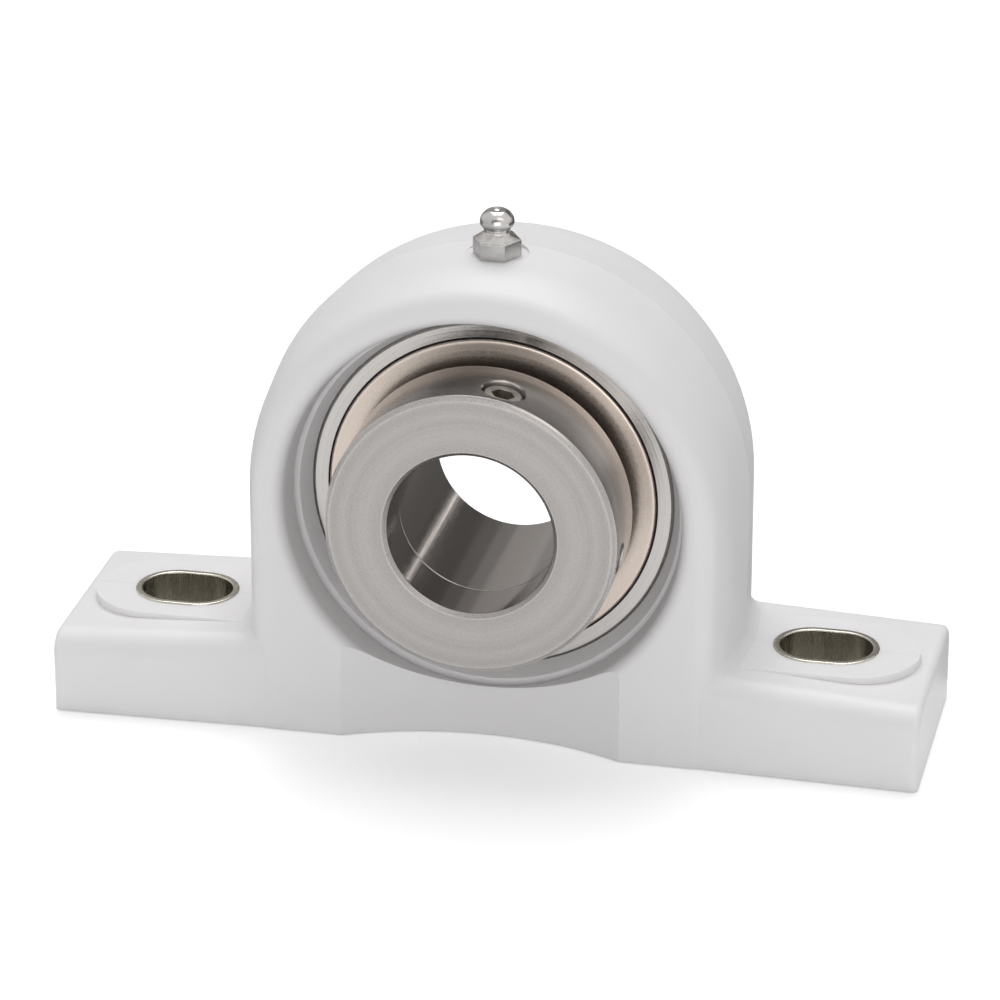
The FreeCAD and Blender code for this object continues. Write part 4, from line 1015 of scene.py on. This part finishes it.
@dataclass
class GreaseNipple(SubAssembly):
    """The nipple with its hexagon, neck and head, and the valve inside."""

    foot: Triple = (0.0, -5.0, 94.3)
    thread_radius: float = 3.0
    thread_length: float = 5.5
    half_flats: float = 4.0
    hex_height: float = 3.2
    cone_height: float = 4.6
    neck_radius: float = 2.5
    neck_height: float = 5.3
    head_radius: float = 3.25
    head_middle: float = 6.5
    under_round: float = 1.2
    crown_round: float = 2.5
    top_height: float = 8.9
    seat_depth: float = 0.1
    seat_taper: float = 0.5
    mouth_radius: float = 0.8
    cavity_radius: float = 1.35
    cavity_floor: float = 2.0
    passage_radius: float = 0.7
    press_joint: str = "nipple_ball_press"
    press_travel: float = 0.8

    def build(self) -> None:
        """Turn the nipple's profile about its upright axis and dress the valve."""
        hexagon = Turn.HEXAGON
        seat = self.top_height - self.seat_depth
        under = (self.head_radius - self.under_round, self.head_middle)
        crown = (self.head_radius - self.crown_round, self.head_middle)
        knots = [
            Knot(self.thread_radius, -self.thread_length, 0.2),
            Knot(self.thread_radius, 0.0),
            Knot(self.half_flats, 0.0, 0.12, hexagon),
            Knot(self.half_flats, self.hex_height, 0.25, hexagon),
            Knot(self.neck_radius, self.cone_height, 0.4),
            Knot(self.neck_radius, self.neck_height),
            *arc_knots(under, self.under_round, -70, -8, 6),
            *arc_knots(crown, self.crown_round, 0, 70, 10),
            Knot(self.mouth_radius, self.top_height, 0.05),
            Knot(self.mouth_radius, seat),
            Knot(self.cavity_radius, seat - self.seat_taper),
            Knot(self.cavity_radius, self.cavity_floor),
            Knot(self.passage_radius, self.cavity_floor),
            Knot(self.passage_radius, -self.thread_length),
        ]
        axes = Axes(self.foot, (0, 1, 0), (-1, 0, 0), (0, 0, 1))
        shell = TurnedShell(knots, axes, columns=144, steps=6, support=0.15)
        self.stand_in(shell.surface(), "nipple_body", "base", "nipple_steel")
        self.carry_over("nipple_spring", "screw_steel")
        self.carry_over("nipple_ball", "ball_steel")
        self.let_spring_give()

    def let_spring_give(self) -> None:
        """Give the spring a mesh of its own."""
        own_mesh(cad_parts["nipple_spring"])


@dataclass
class Insert(SubAssembly):
    """The rings, seals, flingers, balls and cage of the ball bearing insert."""

    shoulder_radius: float = 23.45
    flinger_radius: float = 31.5
    flinger_face: float = 9.95
    flinger_thickness: float = 0.6
    hub_depth: float = 8.25
    rim_depth: float = 8.6
    corner_round: float = 0.45
    press_gap: float = 0.02
    ball_count: int = 9

    def build(self) -> None:
        """Build the flingers and the inner ring, and dress the rest."""
        for end, side in (("front", -1), ("rear", 1)):
            shell = TurnedShell(self.flinger_knots(side), columns=240, support=0.4)
            self.stand_in(shell.surface(), end + "_flinger", "inner_race", "flinger_steel")
            self.carry_over(end + "_seal", "seal_rubber")
            self.carry_over(end + "_seal_core", "cage_steel")
            self.carry_over("cage_%s_half" % end, "cage_steel")
        self.carry_over("cage_rivets", "cage_steel")
        self.carry_over("outer_ring", "ring_steel")
        self.carry_over("locating_pin", "screw_steel")
        for number in range(self.ball_count):
            self.carry_over("ball_%d" % (number + 1), "ball_steel")
        self.stand_in(InnerRing(self.finishes).shell().surface(), "inner_ring", "inner_race", "ring_steel")

    def flinger_knots(self, side: int) -> list[Knot]:
        """Return the outline of a flinger on the front (-1) or rear (1) side."""
        bore = self.shoulder_radius + self.press_gap
        back = self.flinger_face - self.flinger_thickness
        inner_rim = self.flinger_radius - self.flinger_thickness
        outline = [
            (bore, self.hub_depth, 0.1), (bore + self.flinger_thickness, self.hub_depth, 0.1),
            (bore + self.flinger_thickness, back, 0.15), (inner_rim, back, 0.15),
            (inner_rim, self.rim_depth, 0.1), (self.flinger_radius, self.rim_depth, 0.1),
            (self.flinger_radius, self.flinger_face, self.corner_round),
            (bore, self.flinger_face, self.corner_round),
        ]
        return [Knot(reach, side * depth, rounding) for reach, depth, rounding in outline]


@dataclass
class InnerRing(SubAssembly):
    """The extended inner ring with its raceway, neck and eccentric end."""

    bore_radius: float = 15.875
    bore_chamfer: float = 0.8
    wall: float = 23.45
    raceway_radius: float = 5.85
    floor_radius: float = 21.174
    rear: float = 14.2
    rear_chamfer: float = 0.6
    shoulder_front: float = 10.4
    neck_front: float = 12.5
    neck_radius: float = 21.6
    cam_front: float = 18.2
    cam_radius: float = 20.2
    cam_chamfer: float = 0.4
    seam_chamfer: float = 0.1
    cam_offset: float = 0.8
    cam_angle: float = 259.0
    groove_steps: int = 28

    def offset(self) -> tuple[float, float]:
        """Return how far the cam's centre stands to the side and up."""
        angle = math.radians(self.cam_angle)
        return self.cam_offset * math.cos(angle), self.cam_offset * math.sin(angle)

    def shell(self) -> TurnedShell:
        """Return the ring's outline, ready to be turned."""
        cam = Turn.OFFSET
        centre = self.floor_radius + self.raceway_radius
        reach = math.degrees(math.acos((centre - self.wall) / self.raceway_radius))
        ends = 180 + reach, 180 - reach
        groove = arc_knots((centre, 0.0), self.raceway_radius, *ends, self.groove_steps)
        knots = [
            Knot(self.bore_radius, -self.cam_front + self.seam_chamfer, 0.03),
            Knot(self.bore_radius + self.seam_chamfer, -self.cam_front, 0.03),
            Knot(self.cam_radius - self.cam_chamfer, -self.cam_front, 0.06, cam),
            Knot(self.cam_radius, -self.cam_front + self.cam_chamfer, 0.06, cam),
            Knot(self.cam_radius, -self.neck_front, 0.0, cam),
            Knot(self.neck_radius, -self.neck_front, 0.12),
            Knot(self.neck_radius, -self.shoulder_front, 0.12),
            Knot(self.wall, -self.shoulder_front, 0.15),
            *groove,
            Knot(self.wall, self.rear - self.rear_chamfer, 0.1),
            Knot(self.wall - self.rear_chamfer, self.rear, 0.1),
            Knot(self.bore_radius + self.bore_chamfer, self.rear, 0.1),
            Knot(self.bore_radius, self.rear - self.bore_chamfer, 0.1),
        ]
        return TurnedShell(knots, columns=240, offset=self.offset())


@dataclass
class LockingCollar(SubAssembly):
    """The eccentric collar with its screw hole, drift hole and set screw."""

    ring: InnerRing
    radius: float = 27.75
    front: float = 29.5
    back: float = 12.9
    chamfer: float = 0.9
    bore_chamfer: float = 0.8
    seat_floor: float = 18.5
    seat_radius: float = 20.45
    edge_round: float = 0.12
    screw_angle: float = 79.0
    screw_depth: float = 23.3
    screw_hole_radius: float = 4.03
    drift_angle: float = -9.0
    drift_depth: float = 24.0
    drift_radius: float = 2.9
    drift_floor: float = 22.8
    wall_rows: int = 24
    wall_margin: float = 0.4
    screw_hole_skin: float = 0.06
    hole_columns: int = 14

    def build(self) -> None:
        """Turn the collar with its two holes and build the screw."""
        first = -self.front + self.chamfer + self.wall_margin
        last = -self.back - self.chamfer - self.wall_margin
        bore, rounding, seat = self.ring.bore_radius, self.edge_round, Turn.OFFSET
        knots = [
            Knot(bore, -self.front + self.bore_chamfer, rounding),
            Knot(bore + self.bore_chamfer, -self.front, rounding),
            Knot(self.radius - self.chamfer, -self.front, rounding),
            Knot(self.radius, -self.front + self.chamfer, rounding),
            *wall_knots(self.radius, first, last, self.wall_rows),
            Knot(self.radius, -self.back - self.chamfer, rounding),
            Knot(self.radius - self.chamfer, -self.back, rounding),
            Knot(self.seat_radius, -self.back, rounding, seat),
            Knot(self.seat_radius, -self.seat_floor, 0.0, seat),
            Knot(bore, -self.seat_floor, 0.0),
        ]
        holes = [
            Hole(math.radians(self.screw_angle), -self.screw_depth, self.screw_hole_radius,
                 bore + self.screw_hole_skin, self.hole_columns, first, last),
            Hole(math.radians(self.drift_angle), -self.drift_depth, self.drift_radius,
                 self.drift_floor, self.hole_columns, first, last),
        ]
        shell = TurnedShell(knots, columns=360, offset=self.ring.offset(), holes=holes)
        self.stand_in(shell.surface(), "locking_collar", "collar", "collar_steel")
        SetScrew(self.finishes, self.screw_angle, self.screw_depth).build()


@dataclass
class SetScrew(SubAssembly):
    """The screw with its point toward the bore and a hexagon socket outside."""

    angle: float
    depth: float
    tip: float = 15.975
    top: float = 26.9
    radius: float = 4.0
    point_radius: float = 2.6
    chamfer: float = 0.6
    socket: float = 2.0
    socket_depth: float = 4.925
    cone: float = 0.7
    thread_pitch: float = 1.0
    thread_cut: float = 0.35
    thread_start: float = 0.3
    thread_end: float = 0.9
    crest: float = 0.45
    flank: float = 0.1

    def build(self) -> None:
        """Turn the screw about its own axis, with rings of thread along its wall."""
        cone_top = self.tip + self.radius - self.point_radius
        socket_floor = self.top - self.socket_depth
        last = self.top - self.chamfer - self.thread_end
        turns = np.arange(cone_top + self.thread_start, last, self.thread_pitch)
        thread = np.column_stack([turns, turns + self.crest, turns + self.crest + self.flank]).ravel()
        root = self.radius - self.thread_cut
        reach = np.tile([self.radius, root, root], len(turns))
        knots = [
            Knot(ON_AXIS, self.tip), Knot(self.point_radius, self.tip, 0.2), Knot(self.radius, cone_top, 0.1),
            *[Knot(r, d) for r, d in zip(reach.tolist(), thread.tolist())],
            Knot(self.radius, self.top - self.chamfer, 0.12),
            Knot(self.radius - self.chamfer, self.top, 0.12),
            Knot(self.socket, self.top, 0.08, Turn.HEXAGON),
            Knot(self.socket, socket_floor, 0.0, Turn.HEXAGON),
            Knot(ON_AXIS, socket_floor - self.cone),
        ]
        angle = math.radians(self.angle)
        axes = Axes(
            (0.0, -self.depth, SHAFT_HEIGHT), (0, 1, 0), (-math.sin(angle), 0, math.cos(angle)),
            (math.cos(angle), 0, math.sin(angle)),
        )
        shell = TurnedShell(knots, axes, columns=96, closed=False, support=0.15)
        self.stand_in(shell.surface(), "set_screw", "screw", "screw_steel")


# Studio


def flat_sheet(
    name: str, corners: Sequence[Triple], material: bpy.types.Material
) -> bpy.types.Object:
    """Return a new rectangle in one material, from its four corners in order."""
    mesh = bpy.data.meshes.new(name)
    mesh.from_pydata(corners, [], [(0, 1, 2, 3)])
    mesh.materials.append(material)
    return linked(name, mesh)


@dataclass(frozen=True)
class Card:
    """A flat upright or lying card that only mirrors see, from one corner to the other; its glow is a painted
    reflection.
    """

    name: str
    low: Triple
    high: Triple
    strength: float

    def build(self) -> None:
        """Hang the card where metal reflects it."""
        (left, near, bottom), (right, far, top) = self.low, self.high
        corners = [(left, near, bottom), (right, near, bottom), (right, far, top), (left, far, top)]
        material, nodes, shader = new_material(self.name)
        nodes.tree.nodes.remove(shader)
        glow = nodes.add("ShaderNodeEmission", inputs={"Color": CARD_TINT, "Strength": self.strength})
        nodes.show(glow.outputs[0])
        card = flat_sheet(self.name, corners, material)
        card.visible_camera = card.visible_diffuse = card.visible_shadow = False
        card.visible_transmission = card.visible_volume_scatter = False


# Painted reflections: the dark cards paint darker surroundings into the metal, the ground cards a shaded
# floor behind the block, and the slit light and edge light are painted highlights.
CARDS = (
    Card("back card right", (0.35, 2.2, 0.0), (2.6, 2.2, 2.3), 0.13),
    Card("back card middle", (-0.1, 2.2, 0.0), (0.35, 2.2, 2.3), 0.20),
    Card("back card near left", (-0.5, 2.2, 0.0), (-0.1, 2.2, 2.3), 0.32),
    Card("back card left", (-2.6, 2.2, 0.0), (-0.5, 2.2, 2.3), 0.48),
    Card("slit light", (0.35, 2.19, 0.37), (2.6, 2.19, 0.43), 3.2),
    Card("ground card left", (-1.8, 0.026, 0.0008), (-0.02, 2.2, 0.0008), 0.34),
    Card("ground card right", (-0.02, 0.026, 0.0008), (1.8, 2.2, 0.0008), 0.15),
    Card("front card", (-0.9, -1.9, 0.35), (1.3, -1.9, 1.7), 0.15),
    Card("edge light", (0.3, -0.8, 0.95), (1.3, -0.8, 1.75), 2.5),
)


@dataclass
class Studio:
    """Floor, world, lamps, cards and camera."""

    camera_place: Triple = (0.1777, -0.8158, 0.4030)
    camera_aim: Triple = (-0.00056, 0.0, 0.04249)
    lens: float = 171.6
    sensor_width: float = 36.0
    sight: float = 20.0
    floor_level: float = -0.0002
    floor_half: float = 0.9
    floor_glow: float = 0.36
    paper_tone: Triple = (0.9, 0.9, 0.9)
    paper_roughness: float = 0.9
    world_strength: float = 0.46

    def build(self) -> None:
        """Set up everything round the object."""
        self.floor()
        self.world()
        self.lamp("front", (0.4, -1.75, 0.20), 1.4, 11.5)
        self.lamp("top", (-0.1, 0.65, 1.75), 1.2, 18.0)
        for card in CARDS:
            card.build()
        self.camera()
        bpy.context.scene.view_settings.view_transform = "Standard"

    def floor(self) -> None:
        """Lay a pale floor that looks white but keeps the object's shadow."""
        half, level = self.floor_half, self.floor_level
        corners = [(-half, -half, level), (half, -half, level), (half, half, level), (-half, half, level)]
        material, nodes, shader = new_material("floor paper")
        shader.inputs["Base Color"].default_value = (*self.paper_tone, 1)
        shader.inputs["Roughness"].default_value = self.paper_roughness
        shader.inputs["Specular IOR Level"].default_value = 0.0
        strength = nodes.math("MULTIPLY", self.seen_directly(nodes), self.floor_glow)
        glow = nodes.add("ShaderNodeEmission", inputs={"Strength": strength})
        both = nodes.add("ShaderNodeAddShader", inputs={0: shader.outputs[0], 1: glow.outputs[0]})
        nodes.show(both.outputs[0])
        floor = flat_sheet("floor", corners, material)

    def seen_directly(self, nodes: Nodes) -> Socket:
        """Return one on rays from the camera, mirrors or glass, and nought on all others."""
        path = nodes.add("ShaderNodeLightPath").outputs
        both = nodes.math("MAXIMUM", path["Is Camera Ray"], path["Is Glossy Ray"])
        return nodes.math("MAXIMUM", both, path["Is Transmission Ray"])

    def world(self) -> None:
        """Light the object from all round and show white behind it."""
        world = bpy.data.worlds.new("studio")
        bpy.context.scene.world = world
        world.use_nodes = True
        nodes = Nodes(world.node_tree)
        background = world.node_tree.nodes["Background"]
        background.inputs["Color"].default_value = (1, 1, 1, 1)
        strength = nodes.span(self.seen_directly(nodes), 0.0, 1.0, self.world_strength, 1.0)
        nodes.tree.links.new(strength, background.inputs["Strength"])

    def lamp(self, name: str, place: Triple, size: float, power: float) -> None:
        """Hang a square soft lamp that points at the object.

        Args:
            name: Name of the lamp.
            place: Its place, in metres.
            size: Length of its sides, in metres.
            power: Its power, in watts.
        """
        lamp = bpy.data.lights.new(name, "AREA")
        lamp.shape, lamp.size, lamp.energy = "SQUARE", size, power
        self.hang(name, lamp, place)

    def camera(self) -> None:
        """Place the camera at the photograph's viewing angle."""
        data = bpy.data.cameras.new("camera")
        data.lens, data.sensor_width, data.clip_end = self.lens, self.sensor_width, self.sight
        bpy.context.scene.camera = self.hang("camera", data, self.camera_place)

    def hang(self, name: str, data: bpy.types.ID, place: Triple) -> bpy.types.Object:
        """Hang a lamp or the camera at a place, so that it points at the object."""
        thing = linked(name, data)
        thing.location = place
        aim = Vector(self.camera_aim) - Vector(place)
        thing.rotation_euler = aim.to_track_quat("-Z", "Y").to_euler()
        return thing


def main() -> None:
    """Build and dress every sub-assembly, then set up the studio."""
    logging.basicConfig(level=logging.INFO, format="%(message)s")
    finishes = Finishes()
    Housing(finishes).build()
    BoltSleeves(finishes).build()
    GreaseNipple(finishes).build()
    Insert(finishes).build()
    LockingCollar(finishes, InnerRing(finishes)).build()
    Studio().build()


if __name__ == "__main__":
    main()
